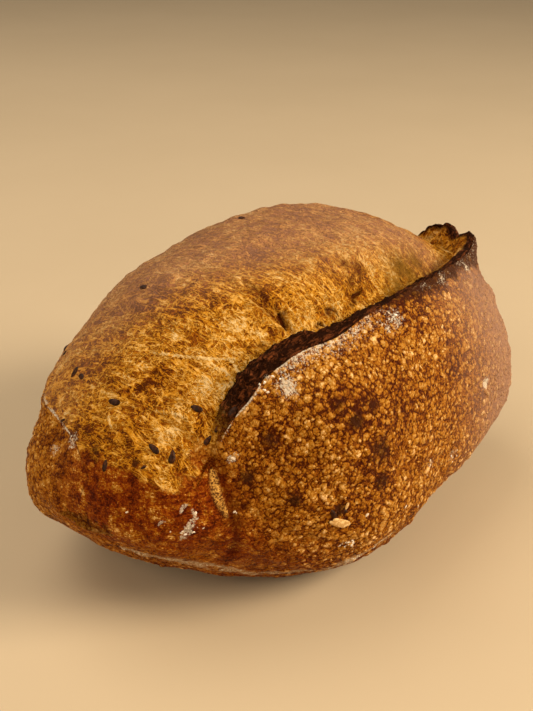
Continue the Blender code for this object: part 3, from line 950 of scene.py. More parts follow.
    def paint(self, grid: CrustGrid) -> None:
        """Works out the masks that the points, the seam, the edge and the spots give.

        Args:
            grid: the crust, which gets the masks.
        """
        points = grid.points
        plain = self.form.body(grid.turn, grid.angle)
        degrees = np.degrees(grid.angle)
        masks = grid.masks
        place = -np.cos(grid.turn)
        _, _, band, _ = self.score.read(grid.turn)
        column = np.arange(points.shape[1])
        inner_start = grid.starts[Stretch.INNER]
        from_edge = np.linalg.norm(points - points[:, grid.starts[Stretch.TORN], None], axis=-1)
        bloom_start = grid.starts[Stretch.BLOOM_FRONT]
        seam = self.score.seam_angle(grid.turn) + 0.05 * (layered_noise(points, 0.012, 3, 101) - 0.5)
        foot_angles, foot_places = zip(*self.bloom_foot)
        foot = flowing(degrees, foot_angles, foot_places)
        foot = foot + 0.07 * (layered_noise(points, 0.009, 3, 103) - 0.5)
        above_foot = ramped(place, foot - 0.035, foot + 0.025)
        in_bloom = ramped(seam - grid.angle, -0.02, 0.03) * above_foot
        stray = from_edge + 0.010 * (layered_noise(points, 0.006, 3, 105) - 0.5)
        past_edge = np.maximum(ramped(stray, 0.002, 0.012), ramped(place, -0.77, -0.72))
        masks["bloom"] = in_bloom * (column > inner_start) * past_edge
        inward = np.clip((column - inner_start) / Stretch.INNER.value, 0.0, 1.0)
        torn = (column > grid.starts[Stretch.TORN]) * (column < bloom_start)
        # the burnt torn band, and painted shade in the gap behind it: nearer than place 0.3 to 0.5 the whole
        # inner face is darkened
        charred_and_gap_shade = torn * np.maximum(1.0 - ramped(inward, 0.1, 0.4), 1.0 - ramped(place, 0.30, 0.50))
        masks["char_and_gap_shade"] = charred_and_gap_shade * ramped(band, 0.0002, 0.0010) * ramped(place, -0.77, -0.66)
        on_skin = column <= grid.starts[Stretch.TORN]
        ragged = 0.5 + layered_noise(points, np.array([0.006, 0.012, 0.012]), 3, 151)
        fringe = (0.0075 + 0.0030 * ramped(place, 0.30, 0.60)) * ragged
        burnt = bell(from_edge / fringe) * ramped(place, -0.22, 0.15) * on_skin
        burnt = burnt * (1.0 - 0.4 * ramped(place, 0.76, 0.80))
        masks["scorch"] = np.maximum(self.nearness(plain, self.scorches), burnt)
        masks["brown"] = np.maximum(self.nearness(plain, self.browns), 0.6 * torn)
        # olive spots are painted shadow of the ear on the bloom; pale spots are partly the bloom's paler
        # crumb, partly a painted highlight near the ear
        for name, patches in (("painted_ear_shadow", self.ear_shadow_spots), ("pale", self.pale_and_lit_spots), ("smooth", self.smooth)):
            masks[name] = self.nearness(plain, patches)
        masks["groove"] = self.traced(plain, self.groove)
        # painted shade in the near end's fold and in the bloom's groove
        masks["crease_shade"] = np.maximum(self.fold(points) / self.fold_depth, 0.6 * masks["groove"])
        # pits and holes, which are sunk and filled with painted shade
        masks["shaded_pit"] = np.maximum(self.nearness(plain, self.pits), self.drawn(plain, self.holes))
        masks["strand"] = self.drawn(plain, self.strands)
        masks["streak"] = self.drawn(plain, self.streaks)
        # redder and darker low on the loaf and at the near end: partly the crust's own deeper bake, partly
        # painted shade
        low = 1.0 - ramped(points[..., 2], 0.008, 0.045)
        masks["red_and_shade"] = np.maximum(self.nearness(plain, self.red_and_shade_spots), 0.7 * low)
        masks["rib"] = self.traced(plain, self.rib)
        worn = ramped(layered_noise(points, 0.006, 3, 131), 0.15, 0.40)
        masks["lip"] = self.drawn(plain, self.rims) * worn
        # painted sheen: a paler, greyer wash over the bloom's top and over the far skin, carried by the soft
        # mask
        sheen_on_top = ramped(degrees + 45.0 * place, 58.0, 86.0) * (1.0 - ramped(degrees, 138.0, 156.0))
        sheen_on_top = sheen_on_top * in_bloom * (column >= bloom_start) * (1.0 - ramped(place, 0.40, 0.70))
        sheen_on_top = sheen_on_top * (0.3 + 0.7 * ramped(place, -0.80, -0.35))
        far = ramped(place, 0.00, 0.58) * (1.0 - 0.8 * ramped(place, 0.76, 0.94)) * on_skin
        masks["soft"] = np.maximum(far * (1.0 - 0.6 * burnt), sheen_on_top)
        # painted shadow of the seam's step: a dark line along it on the near half
        masks["seam"] = bell((seam - grid.angle) / 0.012) * ramped(-place, 0.3, 0.6)
        skin_from_edge = np.where(on_skin, from_edge, 1.0)
        masks["flour"] = self.floured(points, plain, place, skin_from_edge, masks["lip"])

    def floured(self, points: Array, plain: Array, place: Array, from_edge: Array, lip: Array) -> Array:
        """Flour: patches, a chalk line on the skin's edge, a dusty band under it, and the base's rim.

        Args:
            points: the crust's points.
            plain: the same points on the plain loaf.
            place: each ring's place.
            from_edge: how far the skin is from its edge, and 1 elsewhere.
            lip: how much each point is on the base's floured lip.

        Returns:
            How much flour lies at each point.
        """
        broken = ramped(layered_noise(points, 0.0050, 3, 141), 0.30, 0.55)
        line = bell(from_edge / 0.0007) * ramped(place, -0.74, -0.66) * ramped(-place, 0.22, 0.42)
        dusty = bell(from_edge / 0.0062) * ramped(place, -0.60, -0.48) * ramped(-place, -0.05, 0.20)
        specks = bell(from_edge / 0.0060) * ramped(place, 0.0, 0.2) * (broken > 0.8)
        under = 1.0 - ramped(points[..., 2], 0.0, 0.003)
        skin = np.maximum(line * (0.25 + 0.75 * broken), 0.50 * dusty)
        worn = 0.45 + 0.35 * layered_noise(points, 0.0030, 3, 161)
        drawn = np.maximum(worn * self.drawn(plain, self.strokes), 0.5 * lip)
        patches = 0.85 * self.nearness(plain, self.flours)
        return np.maximum.reduce([patches, skin, 0.22 * specks, drawn, 0.6 * under])

    def raise_blisters(self, grid: CrustGrid) -> None:
        """Cracks the skin into cobbles and raises two sizes of blister on it.

        Args:
            grid: the crust, which is changed.
        """
        shape = grid.points.shape[:2]
        flat = grid.points.reshape(-1, 3)
        bend = straying(flat, 0.0036, 201)
        bent = flat + 0.0022 * bend
        large, large_dome, large_outline, large_tone = self.large.read(bent)
        small, small_dome, small_outline, small_tone = self.small.read(bent)
        border, cobble_tone = self.cobbles.read(flat + 0.0034 * bend)
        smooth = grid.masks["smooth"].reshape(-1)
        calm = 1.0 - smooth
        crowd = ramped(layered_noise(flat, 0.014, 3, 211), 0.28, 0.60) * calm
        small = small * (1.0 - 0.7 * smooth)
        is_large = large * crowd > small
        cobble = ramped(border, 0.04, 0.30)
        raised = cobble * (cobble_tone > 0.25) * calm
        masks = grid.masks
        skin = (1.0 - masks["bloom"]) * (1.0 - masks["char_and_gap_shade"])
        masks["blister"] = np.clip(np.maximum(large * crowd, small) / 0.0008, 0.0, 1.0).reshape(shape)
        masks["dome"] = np.where(is_large, large_dome, small_dome).reshape(shape)
        outline = np.where(is_large, 0.0, np.maximum(large_outline * crowd, 0.7 * small_outline))
        cracks = (1.0 - cobble) * 0.9 * (small_dome < 0.1) * calm
        masks["outline"] = np.maximum(outline * calm, cracks).reshape(shape)
        masks["cobble"] = raised.reshape(shape)
        other_tone = np.where(small > 0.0, small_tone, cobble_tone)
        masks["tone"] = np.where(is_large, large_tone, other_tone).reshape(shape)
        off_base = eased((grid.points[..., 2] - 0.001) / 0.006)
        rise = np.maximum(0.40 * np.maximum(large * crowd, small), 0.00022 * raised).reshape(shape)
        self.lift(grid, (rise - 0.00010 * masks["outline"]) * skin * off_base)

    def raise_strands(self, grid: CrustGrid) -> None:
        """Raises bundles of strands over the bloom: noise drawn out round the loaf and bent.

        Args:
            grid: the crust, which is changed.
        """
        points = grid.points
        bent = points + 0.006 * straying(points, 0.009, 301)
        broad = layered_noise(bent, np.array([0.0030, 0.009, 0.009]), 2, 321)
        fine = layered_noise(bent, np.array([0.0014, 0.004, 0.004]), 2, 331)
        rise = 0.0005 * (broad - 0.5) + 0.0004 * (fine - 0.5) - 0.0014 * grid.masks["shaded_pit"]
        rise = (rise - 0.0008 * grid.masks["groove"]) * grid.masks["bloom"]
        self.lift(grid, rise + 0.0006 * grid.masks["rib"] + 0.0003 * grid.masks["strand"])

    def raise_crags(self, grid: CrustGrid) -> None:
        """Breaks the torn band and the ear's inner face into crumbs.

        Args:
            grid: the crust, which is changed.
        """
        crumbs = layered_noise(grid.points, np.array([0.0040, 0.0013, 0.0013]), 3, 401)
        calm = 1.0 - 0.7 * ramped(-np.cos(grid.turn), 0.35, 0.55)
        self.lift(grid, 0.0013 * (crumbs - 0.5) * grid.masks["char_and_gap_shade"] * calm)

    def lift(self, grid: CrustGrid, rise: Array) -> None:
        """Moves the points out by the rise, and turns the outward directions with them."""
        grid.points = grid.points + rise[..., None] * grid.outward
        grid.face_out()

    def bake(self, grid: CrustGrid) -> None:
        """Coarse relief, masks, then each fine relief, and settles the loaf on its base.

        Args:
            grid: the crust, which is changed.
        """
        self.coarse(grid)
        self.paint(grid)
        self.raise_blisters(grid)
        self.raise_strands(grid)
        self.raise_crags(grid)
        grid.points = self.form.settled(grid.points)
        grid.tips = self.form.settled(grid.tips)
        grid.spine = self.form.settled(grid.spine)
        grid.face_out()


# ---------------------------------------------------------------- finishes


class NodeTree:
    """Builds one material's nodes, with a method for each kind that the finishes use."""

    def __init__(self, name: str) -> None:
        """Starts a material of this name with a Principled shader and object coordinates.

        Args:
            name: the material's name.
        """
        self.material = bpy.data.materials.new(name)
        self.material.use_nodes = True
        self.tree = self.material.node_tree
        self.shader = self.tree.nodes["Principled BSDF"]
        self.place = self.tree.nodes.new("ShaderNodeTexCoord").outputs["Object"]

    def feed(self, socket: Socket, value: object) -> None:
        """Links a socket to an output, or sets its own value.

        Args:
            socket: the input.
            value: an output or a constant.
        """
        if isinstance(value, Socket):
            self.tree.links.new(value, socket)
        elif isinstance(value, tuple) and len(value) == 3 and socket.type == "RGBA":
            socket.default_value = (*value, 1.0)
        else:
            socket.default_value = value

    def node(self, kind: str, feeds: dict[str | int, object], **options: object) -> bpy.types.Node:
        """Adds a node of a kind, with its options, and feeds its inputs by name or number.

        Args:
            kind: its type, without ShaderNode.
            feeds: what each input gets.
            options: its own settings.

        Returns:
            The node.
        """
        made = self.tree.nodes.new("ShaderNode" + kind)
        for name, option in options.items():
            setattr(made, name, option)
        for key, value in feeds.items():
            self.feed(made.inputs[key], value)
        return made

    def mask(self, name: str, share: object = None) -> Socket:
        """One of the piece's masks, or a share of it."""
        made = self.node("Attribute", {}, attribute_name=name).outputs["Fac"]
        return made if share is None else self.times(made, share)

    def sum(self, kind: str, *values: object) -> Socket:
        """A sum of the named kind on one to three values."""
        return self.node("Math", dict(enumerate(values)), operation=kind).outputs[0]

    def times(self, first: object, second: object) -> Socket:
        """One value times the other."""
        return self.sum("MULTIPLY", first, second)

    def larger(self, first: object, second: object) -> Socket:
        """The larger of two values."""
        return self.sum("MAXIMUM", first, second)

    def weighed(self, start: float, *terms: tuple[object, float]) -> Socket:
        """The start and each value times its weight, added up.

        Args:
            start: the sum's start.
            terms: pairs of a value and its weight.

        Returns:
            The total.
        """
        total = start
        for value, weight in terms:
            total = self.sum("MULTIPLY_ADD", value, weight, total)
        return total

    def ramp(self, level: object, stops: Stops) -> Socket:
        """The colour at a level between stops.

        Args:
            level: where to read it.
            stops: the places and colours.

        Returns:
            The colour.
        """
        node = self.tree.nodes.new("ShaderNodeValToRGB")
        marks = node.color_ramp.elements
        for number, (place, colour) in enumerate(stops):
            mark = marks[number] if number < 2 else marks.new(place)
            mark.position = place
            mark.color = (*colour, 1.0)
        self.feed(node.inputs[0], level)
        return node.outputs[0]

    def span(
        self, value: object, low: float, high: float, at_low: float = 0.0, at_high: float = 1.0
    ) -> Socket:
        """The value's share of the way from low to high, eased and clamped, between two results."""
        feeds = dict(enumerate((value, low, high, at_low, at_high)))
        return self.node("MapRange", feeds, interpolation_type="SMOOTHSTEP").outputs[0]

    def mix(self, share: object, first: object, second: object) -> Socket:
        """Blends two colours by a share."""
        return self.node("Mix", {"Factor": share, 6: first, 7: second}, data_type="RGBA").outputs[2]

    def stretched(self, scales: Colour, turned: Colour) -> Socket:
        """Object coordinates, turned and scaled by axis."""
        return self.node("Mapping", {"Vector": self.place, "Rotation": turned, "Scale": scales}).outputs[0]

    def noise(
        self, scale: float, detail: float = 3.0, rough: float = 0.55, bend: float = 0.0, at: object = None
    ) -> Socket:
        """Layered noise from 0 to 1, on object coordinates or on others that are given.

        Args:
            scale: cells to the metre.
            detail: how many finer layers.
            rough: how strong those are.
            bend: how far it winds.
            at: other coordinates, if any.

        Returns:
            The noise.
        """
        at = self.place if at is None else at
        feeds = {"Vector": at, "Scale": scale, "Detail": detail, "Roughness": rough, "Distortion": bend}
        return self.node("TexNoise", feeds).outputs["Fac"]

    def cells(self, at: object, scale: float) -> tuple[Socket, Socket]:
        """The distance to the nearest of scattered centres, in cells, and that centre's tone."""
        made = self.node("TexVoronoi", {"Vector": at, "Scale": scale})
        return made.outputs["Distance"], made.outputs["Color"]

    def bent(self, reach: float, scale: float) -> Socket:
        """Object coordinates strayed by noise, up to about the reach to each side.

        Args:
            reach: how far they stray.
            scale: the noise's cells to the metre.

        Returns:
            The coordinates.
        """
        stray = self.node("TexNoise", {"Vector": self.place, "Scale": scale}).outputs["Color"]
        feeds = {0: stray, 1: (2.0 * reach,) * 3, 2: self.place}
        return self.node("VectorMath", feeds, operation="MULTIPLY_ADD").outputs[0]

    def ridge(self, value: object, width: float) -> Socket:
        """1 on the noise's middle level, falling to 0 a width away from it: thin wandering lines."""
        off = self.sum("ABSOLUTE", self.sum("SUBTRACT", value, 0.5))
        return self.span(off, 0.0, width, 1.0, 0.0)

    def bump(self, height: object, distance: float, **under: Socket) -> Socket:
        """Turns a height into a bent normal, over the Normal that lies under it."""
        return self.node("Bump", {"Distance": distance, "Height": height, **under}).outputs[0]

    def finish(self, feeds: dict[str, object]) -> bpy.types.Material:
        """Feeds the shader's inputs by name and hands over the material.

        Args:
            feeds: what each input gets.

        Returns:
            The material.
        """
        for name, value in feeds.items():
            self.feed(self.shader.inputs[name], value)
        return self.material


@dataclass(frozen=True)
class CrustFinish:
    """Baked crust: blistered skin, fibrous bloom, burnt torn edge and flour, each where its mask says, with
    painted light and shade laid in: glints, sheen, the ear's shadow and shade in creases, pits, the seam
    and the gap behind the torn edge.

    Each of the first three is a run of colours from the crust's darkest level to its palest.
    """

    skin: Stops = (
        (0.00, (0.040, 0.0032, 0.0001)),
        (0.25, (0.185, 0.0420, 0.0010)),
        (0.50, (0.370, 0.1260, 0.0060)),
        (0.75, (0.480, 0.2150, 0.0360)),
        (1.00, (0.820, 0.4500, 0.1600)),
    )
    # the redder, darker run for low down and the near end, partly painted shade; its darkest colour also
    # paints the shade in creases and along the seam
    low_skin: Stops = (
        (0.00, (0.045, 0.0022, 0.0001)),
        (0.30, (0.150, 0.0170, 0.0003)),
        (0.52, (0.235, 0.0430, 0.0008)),
        (0.75, (0.400, 0.1400, 0.0060)),
        (1.00, (0.800, 0.4200, 0.1200)),
    )
    bloom: Stops = (
        (0.00, (0.065, 0.0105, 0.0002)),
        (0.22, (0.220, 0.0500, 0.0006)),
        (0.45, (0.430, 0.1500, 0.0040)),
        (0.60, (0.550, 0.2200, 0.0140)),
        (0.78, (0.660, 0.3150, 0.0550)),
        (1.00, (0.700, 0.4150, 0.1450)),
    )
    # colours of the painted sheen on the far skin and on the bloom's top
    painted_sheen_skin: Colour = (0.315, 0.162, 0.0900)
    painted_sheen_bloom: Colour = (0.325, 0.148, 0.0740)
    scorched: Colour = (0.032, 0.0075, 0.0014)
    # dark olive colour of the painted shadow that the ear casts on the bloom
    painted_ear_shadow: Colour = (0.150, 0.062, 0.0035)
    burnt: Colour = (0.012, 0.0018, 0.0005)
    burnt_brown: Colour = (0.150, 0.036, 0.0085)
    tan: Colour = (0.400, 0.215, 0.0800)
    chalk: Colour = (0.620, 0.480, 0.310)
    # dark colour of the painted shade in the rib's pinholes
    pinhole_shade: Colour = (0.110, 0.050, 0.0120)
    gloss: float = 0.10
    glint: Colour = (1.0, 0.50, 0.15)

    def blisters(self, nodes: NodeTree) -> tuple[Socket, Socket, Socket]:
        """Round blisters in two sizes, as spheres cut by the skin.

        Args:
            nodes: the material.

        Returns:
            Their domes, their tones and their dark outlines, each from 0 to 1.
        """
        domes, tones, outlines = [], [], []
        for scale, reach in ((300.0, 0.50), (560.0, 0.48)):
            away, tone = nodes.cells(nodes.bent(0.0006, 500.0), scale)
            size = nodes.weighed(reach - 0.16, (tone, 0.26))
            share = nodes.sum("DIVIDE", away, size)
            domes.append(nodes.span(share, 1.0, 0.30))
            tones.append(nodes.times(tone, nodes.span(share, 1.0, 0.80)))
            off_rim = nodes.sum("ABSOLUTE", nodes.weighed(-1.10, (share, 1.0)))
            outlines.append(nodes.span(off_rim, 0.15, 0.0))
        dome, tone, outline = (nodes.larger(*pair) for pair in (domes, tones, outlines))
        return dome, tone, nodes.times(outline, nodes.span(dome, 0.30, 0.0))

    def skin_colour(self, nodes: NodeTree, blisters: tuple[Socket, Socket, Socket]) -> Socket:
        """Blisters as levels over mottling, dark in their outlines, with painted glints on their domes,
        redder where low, partly as painted shade, and a wash of painted sheen on the far skin.

        Args:
            nodes: the material.
            blisters: their domes, tones and outlines.

        Returns:
            The colour.
        """
        dome, tone, outline = blisters
        mottled = nodes.noise(380.0, 4.0, 0.65)
        speckle = nodes.noise(1300.0, 3.0, 0.7)
        wide = nodes.noise(75.0, 3.0, 0.55)
        large = nodes.mask("blister", nodes.mask("tone"))
        # painted glints: tiny pale dots on the blister tops and flecks on the near end, in place of
        # highlights
        painted_glints = nodes.span(nodes.noise(1900.0, 1.0, 0.5), 0.66, 0.72)
        bumps = nodes.weighed(
            0.0,
            (dome, 0.10),
            (tone, 0.34),
            (outline, -0.30),
            (nodes.mask("blister"), 0.10),
            (large, 0.20),
            (nodes.mask("outline"), -0.30),
            (nodes.times(painted_glints, dome), 0.35),
        )
        drawn = nodes.stretched((260.0, 260.0, 900.0), (0.2, -0.15, 0.0))
        filament = nodes.noise(1.0, 4.0, 0.62, 1.2, drawn)
        patches = nodes.noise(150.0, 3.0, 0.6)
        curls = nodes.ridge(nodes.noise(210.0, 2.0, 0.5, 1.5), 0.035)
        dots = nodes.span(nodes.noise(420.0, 1.0, 0.5), 0.60, 0.70)
        flecked = ((painted_glints, 0.30), (curls, 0.16), (dots, 0.24))
        calm = nodes.weighed(-1.42, (filament, 1.30), (patches, 1.35), *flecked)
        level = nodes.weighed(
            -0.82,
            (mottled, 0.60),
            (speckle, 1.25),
            (wide, 0.60),
            (bumps, 1.0),
            (nodes.mask("smooth", bumps), -0.85),
            (nodes.mask("smooth", calm), 1.0),
            (nodes.mask("scorch"), -0.42),
        )
        # redder and darker where low and at the near end: partly the crust's own tone, partly painted shade
        redness_and_shade = nodes.weighed(-0.45, (nodes.mask("red_and_shade"), 1.0), (wide, 0.7))
        low = nodes.ramp(level, self.low_skin)
        colour = nodes.mix(nodes.span(redness_and_shade, 0.0, 0.8), nodes.ramp(level, self.skin), low)
        # painted sheen on the far skin
        return nodes.mix(nodes.mask("soft", 0.78), colour, self.painted_sheen_skin)

    def threads(self, nodes: NodeTree) -> Socket:
        """Fine curled threads: two tangles and two runs of hairs drawn out round the loaf.

        Args:
            nodes: the material.

        Returns:
            1 on a thread, falling to 0 beside it.
        """
        tangle = nodes.ridge(nodes.noise(150.0, 1.0, 0.5, 1.6), 0.034)
        finer = nodes.ridge(nodes.noise(260.0, 1.0, 0.5, 1.4), 0.045)
        along = nodes.stretched((430.0, 85.0, 85.0), (0.1, 0.1, -0.35))
        hair = nodes.ridge(nodes.noise(1.0, 2.0, 0.5, 0.8, along), 0.055)
        across = nodes.stretched((240.0, 110.0, 430.0), (0.3, 0.2, 0.4))
        curl = nodes.ridge(nodes.noise(1.0, 1.0, 0.5, 1.0, across), 0.050)
        both = nodes.larger(tangle, nodes.times(finer, 0.8))
        return nodes.larger(both, nodes.larger(hair, curl))

    def bloom_colour(self, nodes: NodeTree, threads: Socket) -> Socket:
        """Golden strands with pale threads on them, browner or paler by patches, the pale ones partly a
        painted highlight, with painted shade in creases and pits, the ear's painted shadow and painted sheen
        on top.

        Args:
            nodes: the material.
            threads: where the threads are.

        Returns:
            The colour.
        """
        drawn = nodes.stretched((300.0, 80.0, 80.0), (0.0, 0.0, 0.30))
        strands = nodes.noise(1.0, 4.0, 0.65, 1.0, drawn)
        wide = nodes.noise(55.0, 2.0, 0.5)
        patches = nodes.noise(130.0, 3.0, 0.6, 0.8)
        flecks = nodes.noise(700.0, 3.0, 0.7)
        gaps = nodes.ridge(nodes.noise(190.0, 2.0, 0.6, 1.2), 0.022)
        level = nodes.weighed(
            -1.54,
            (strands, 1.20),
            (wide, 0.60),
            (patches, 0.95),
            (flecks, 0.85),
            (threads, 0.46),
            (gaps, -0.30),
            (nodes.mask("strand"), 0.50),
            (nodes.mask("streak"), -0.30),
            # partly the bloom's paler crumb, partly a painted highlight near the ear
            (nodes.mask("pale"), 0.22),
            (nodes.mask("brown"), -0.22),
            # painted shade in the fold and the groove
            (nodes.mask("crease_shade"), -0.20),
            (nodes.mask("scorch"), -0.45),
        )
        colour = nodes.ramp(level, self.bloom)
        # painted sheen on the bloom's top
        colour = nodes.mix(nodes.mask("soft", 0.62), colour, self.painted_sheen_bloom)
        # painted shadow of the ear on the bloom
        colour = nodes.mix(nodes.mask("painted_ear_shadow", 0.85), colour, self.painted_ear_shadow)
        # painted shade inside the pits and holes
        return nodes.mix(nodes.mask("shaded_pit"), colour, self.bloom[0][1])

    def marked(self, nodes: NodeTree, colour: Socket, shreds: Socket) -> Socket:
        """Scorches, creases darkened as painted shade, the torn band's shreds with painted shade in the gap
        behind them, the rim, painted shadow along the seam and the pale rib with pinholes of painted shade
        over the crust's colour.

        Args:
            nodes: the material.
            colour: the colour under it.
            shreds: the torn band's noise.

        Returns:
            The colour with the marks.
        """
        ragged = nodes.noise(520.0, 4.0, 0.7)
        scorch = nodes.weighed(-1.25, (nodes.mask("scorch"), 1.35), (ragged, 1.50))
        colour = nodes.mix(nodes.span(scorch, 0.0, 0.75, 0.0, 0.80), colour, self.scorched)
        # painted shade in the fold and the groove
        colour = nodes.mix(nodes.mask("crease_shade", 0.55), colour, self.low_skin[0][1])
        burnt = nodes.mix(nodes.span(shreds, 0.46, 0.70), self.burnt, self.burnt_brown)
        # the burnt torn band, with painted shade in the gap behind it
        colour = nodes.mix(nodes.mask("char_and_gap_shade"), colour, burnt)
        lip = nodes.mask("lip", nodes.span(ragged, 0.30, 0.60, 0.25, 0.85))
        colour = nodes.mix(lip, colour, self.tan)
        # painted shadow along the seam's step
        colour = nodes.mix(nodes.mask("seam", 0.7), colour, self.low_skin[0][1])
        holes = nodes.noise(1300.0, 2.0, 0.6)
        # the rib's pinholes as painted shade
        rib = nodes.mix(nodes.span(holes, 0.44, 0.54), self.pinhole_shade, self.bloom[-2][1])
        return nodes.mix(nodes.mask("rib", 0.70), colour, rib)

    def make(self) -> bpy.types.Material:
        """Lays the finishes over each other and gives them gloss and grain.

        Returns:
            The material.
        """
        nodes = NodeTree("baked_crust")
        threads = self.threads(nodes)
        blisters = self.blisters(nodes)
        shore = nodes.weighed(-0.40, (nodes.mask("bloom"), 1.0), (nodes.noise(230.0, 4.0, 0.7), 0.8))
        shore = nodes.span(shore, 0.35, 0.65)
        colour = nodes.mix(shore, self.skin_colour(nodes, blisters), self.bloom_colour(nodes, threads))
        drawn = nodes.stretched((170.0, 700.0, 700.0), (0.0, 0.0, 0.3))
        shreds = nodes.noise(1.0, 4.0, 0.68, 0.8, drawn)
        colour = self.marked(nodes, colour, shreds)
        dust = nodes.noise(1500.0, 3.0, 0.7)
        clumps = nodes.noise(480.0, 3.0, 0.7)
        flour = nodes.weighed(-2.55, (nodes.mask("flour"), 1.15), (dust, 2.9), (clumps, 1.9))
        floury = nodes.times(nodes.span(flour, 0.25, 0.80), nodes.span(nodes.mask("flour"), 0.02, 0.22))
        colour = nodes.mix(nodes.times(floury, 0.85), colour, self.chalk)
        grain = nodes.noise(900.0, 4.0, 0.65)
        relief = nodes.bump(grain, 0.0009)
        raised = nodes.mix(shore, nodes.times(blisters[0], 1.3), threads)
        raised = nodes.mix(nodes.mask("char_and_gap_shade"), raised, nodes.span(shreds, 0.35, 0.65, 0.0, 1.6))
        relief = nodes.bump(raised, 0.00030, Normal=relief)
        gloss = nodes.span(grain, 0.3, 0.7, 0.38, 0.62)
        dull = nodes.larger(floury, nodes.mask("char_and_gap_shade"))
        roughness = nodes.weighed(0.0, (gloss, 1.0), (dull, 0.3))
        feeds = {"Base Color": colour, "Roughness": roughness, "Normal": relief}
        return nodes.finish(feeds | {"Specular IOR Level": self.gloss, "Specular Tint": self.glint})


@dataclass(frozen=True)
class SpeckFinish:
    """A small thing on the crust: two close tones in fine streaks.

    Attributes:
        name: the material's name.
        dark: its darker tone.
        light: its lighter tone.
        roughness: how dull it is.
        gloss: how strongly it mirrors.
        glint: the colour of what it mirrors.
    """

    name: str
    dark: Colour
    light: Colour
    roughness: float
    gloss: float
    glint: Colour = (1.0, 0.75, 0.5)

    def make(self) -> bpy.types.Material:
        """Streaks along the thing in its two tones.

        Returns:
            The material.
        """
        nodes = NodeTree(self.name)
        streaks = nodes.noise(900.0, 3.0, 0.6)
        colour = nodes.mix(nodes.span(streaks, 0.42, 0.66), self.dark, self.light)
        relief = nodes.bump(streaks, 0.0002)
        feeds = {"Base Color": colour, "Roughness": self.roughness, "Normal": relief}
        return nodes.finish(feeds | {"Specular IOR Level": self.gloss, "Specular Tint": self.glint})


@dataclass(frozen=True)
class FloorFinish:
    """A plain pale table top with the faintest mottling."""

    pale: Colour = (0.46, 0.32, 0.17)
    paler: Colour = (0.50, 0.35, 0.19)

    def make(self) -> bpy.types.Material:
        """Two close tones, matt.

        Returns:
            The material.
        """
        nodes = NodeTree("pale_floor")
        colour = nodes.mix(nodes.noise(6.0), self.pale, self.paler)
        return nodes.finish({"Base Color": colour, "Roughness": 0.8})


# ---------------------------------------------------------------- pieces


def closed(number: Array) -> Array:
    """A grid of point numbers with its first column again after its last."""
    return np.concatenate([number, number[:, :1]], axis=1)


def quads_between(number: Array) -> Array:
    """The quads between neighbouring rings and columns of a grid of point numbers."""
    quads = np.stack([number[:-1, :-1], number[1:, :-1], number[1:, 1:], number[:-1, 1:]], axis=-1)
    return quads.reshape(-1, 4)


def fans(number: Array, near: int, far: int) -> Array:
    """The triangles from the near tip to the first ring, then from the far tip to the last.

    Args:
        number: the grid of point numbers.
        near: the near tip's number.
        far: the far tip's.

    Returns:
        Rows of three.
    """
    first, last = number[0], number[-1]
    tips = np.full((2, len(first) - 1), [[near], [far]])
    start = np.stack([tips[0], first[:-1], first[1:]], axis=-1)
    return np.concatenate([start, np.stack([tips[1], last[1:], last[:-1]], axis=-1)])


def declare(piece: bpy.types.Object) -> None:
    """Says that a piece rides on the loaf and stands for its solid, which it hides.

    Args:
        piece: the piece.
    """
    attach(piece, BODY)
    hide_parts(NODE)


def link(mesh: bpy.types.Mesh, finish: bpy.types.Material) -> bpy.types.Object:
    """Puts a mesh in the scene as an object of its name with one finish.

    Args:
        mesh: the mesh.
        finish: its material.

    Returns:
        The object.
    """
    mesh.materials.append(finish)
    made = bpy.data.objects.new(mesh.name, mesh)
    bpy.context.scene.collection.objects.link(made)
    return made


def new_mesh(name: str, corners: Array, quads: Array, triangles: Array) -> bpy.types.Mesh:
    """Makes a mesh of points, quads and then triangles, put in as whole arrays.

    Args:
        name: the mesh's name.
        corners: its points.
        quads: rows of four point numbers.
        triangles: rows of three.

    Returns:
        The mesh.
    """
    loops = np.concatenate([quads.ravel(), triangles.ravel()]).astype(np.int32)
    totals = np.concatenate([np.full(len(quads), 4), np.full(len(triangles), 3)]).astype(np.int32)
    mesh = bpy.data.meshes.new(name)
    mesh.vertices.add(len(corners))
    mesh.vertices.foreach_set("co", corners.astype(np.float32).ravel())
    mesh.loops.add(len(loops))
    mesh.loops.foreach_set("vertex_index", loops)
    mesh.polygons.add(len(totals))
    starts = np.concatenate([[0], np.cumsum(totals)[:-1]]).astype(np.int32)
    mesh.polygons.foreach_set("loop_start", starts)
    mesh.update(calc_edges=True)
    mesh.validate()
    return mesh


def read_corners(mesh: bpy.types.Mesh) -> Array:
    """The point number of each of a mesh's face corners.

    Args:
        mesh: the mesh.

    Returns:
        The numbers.
    """
    corner = np.empty(len(mesh.loops), np.int32)
    mesh.loops.foreach_get("vertex_index", corner)
    return corner


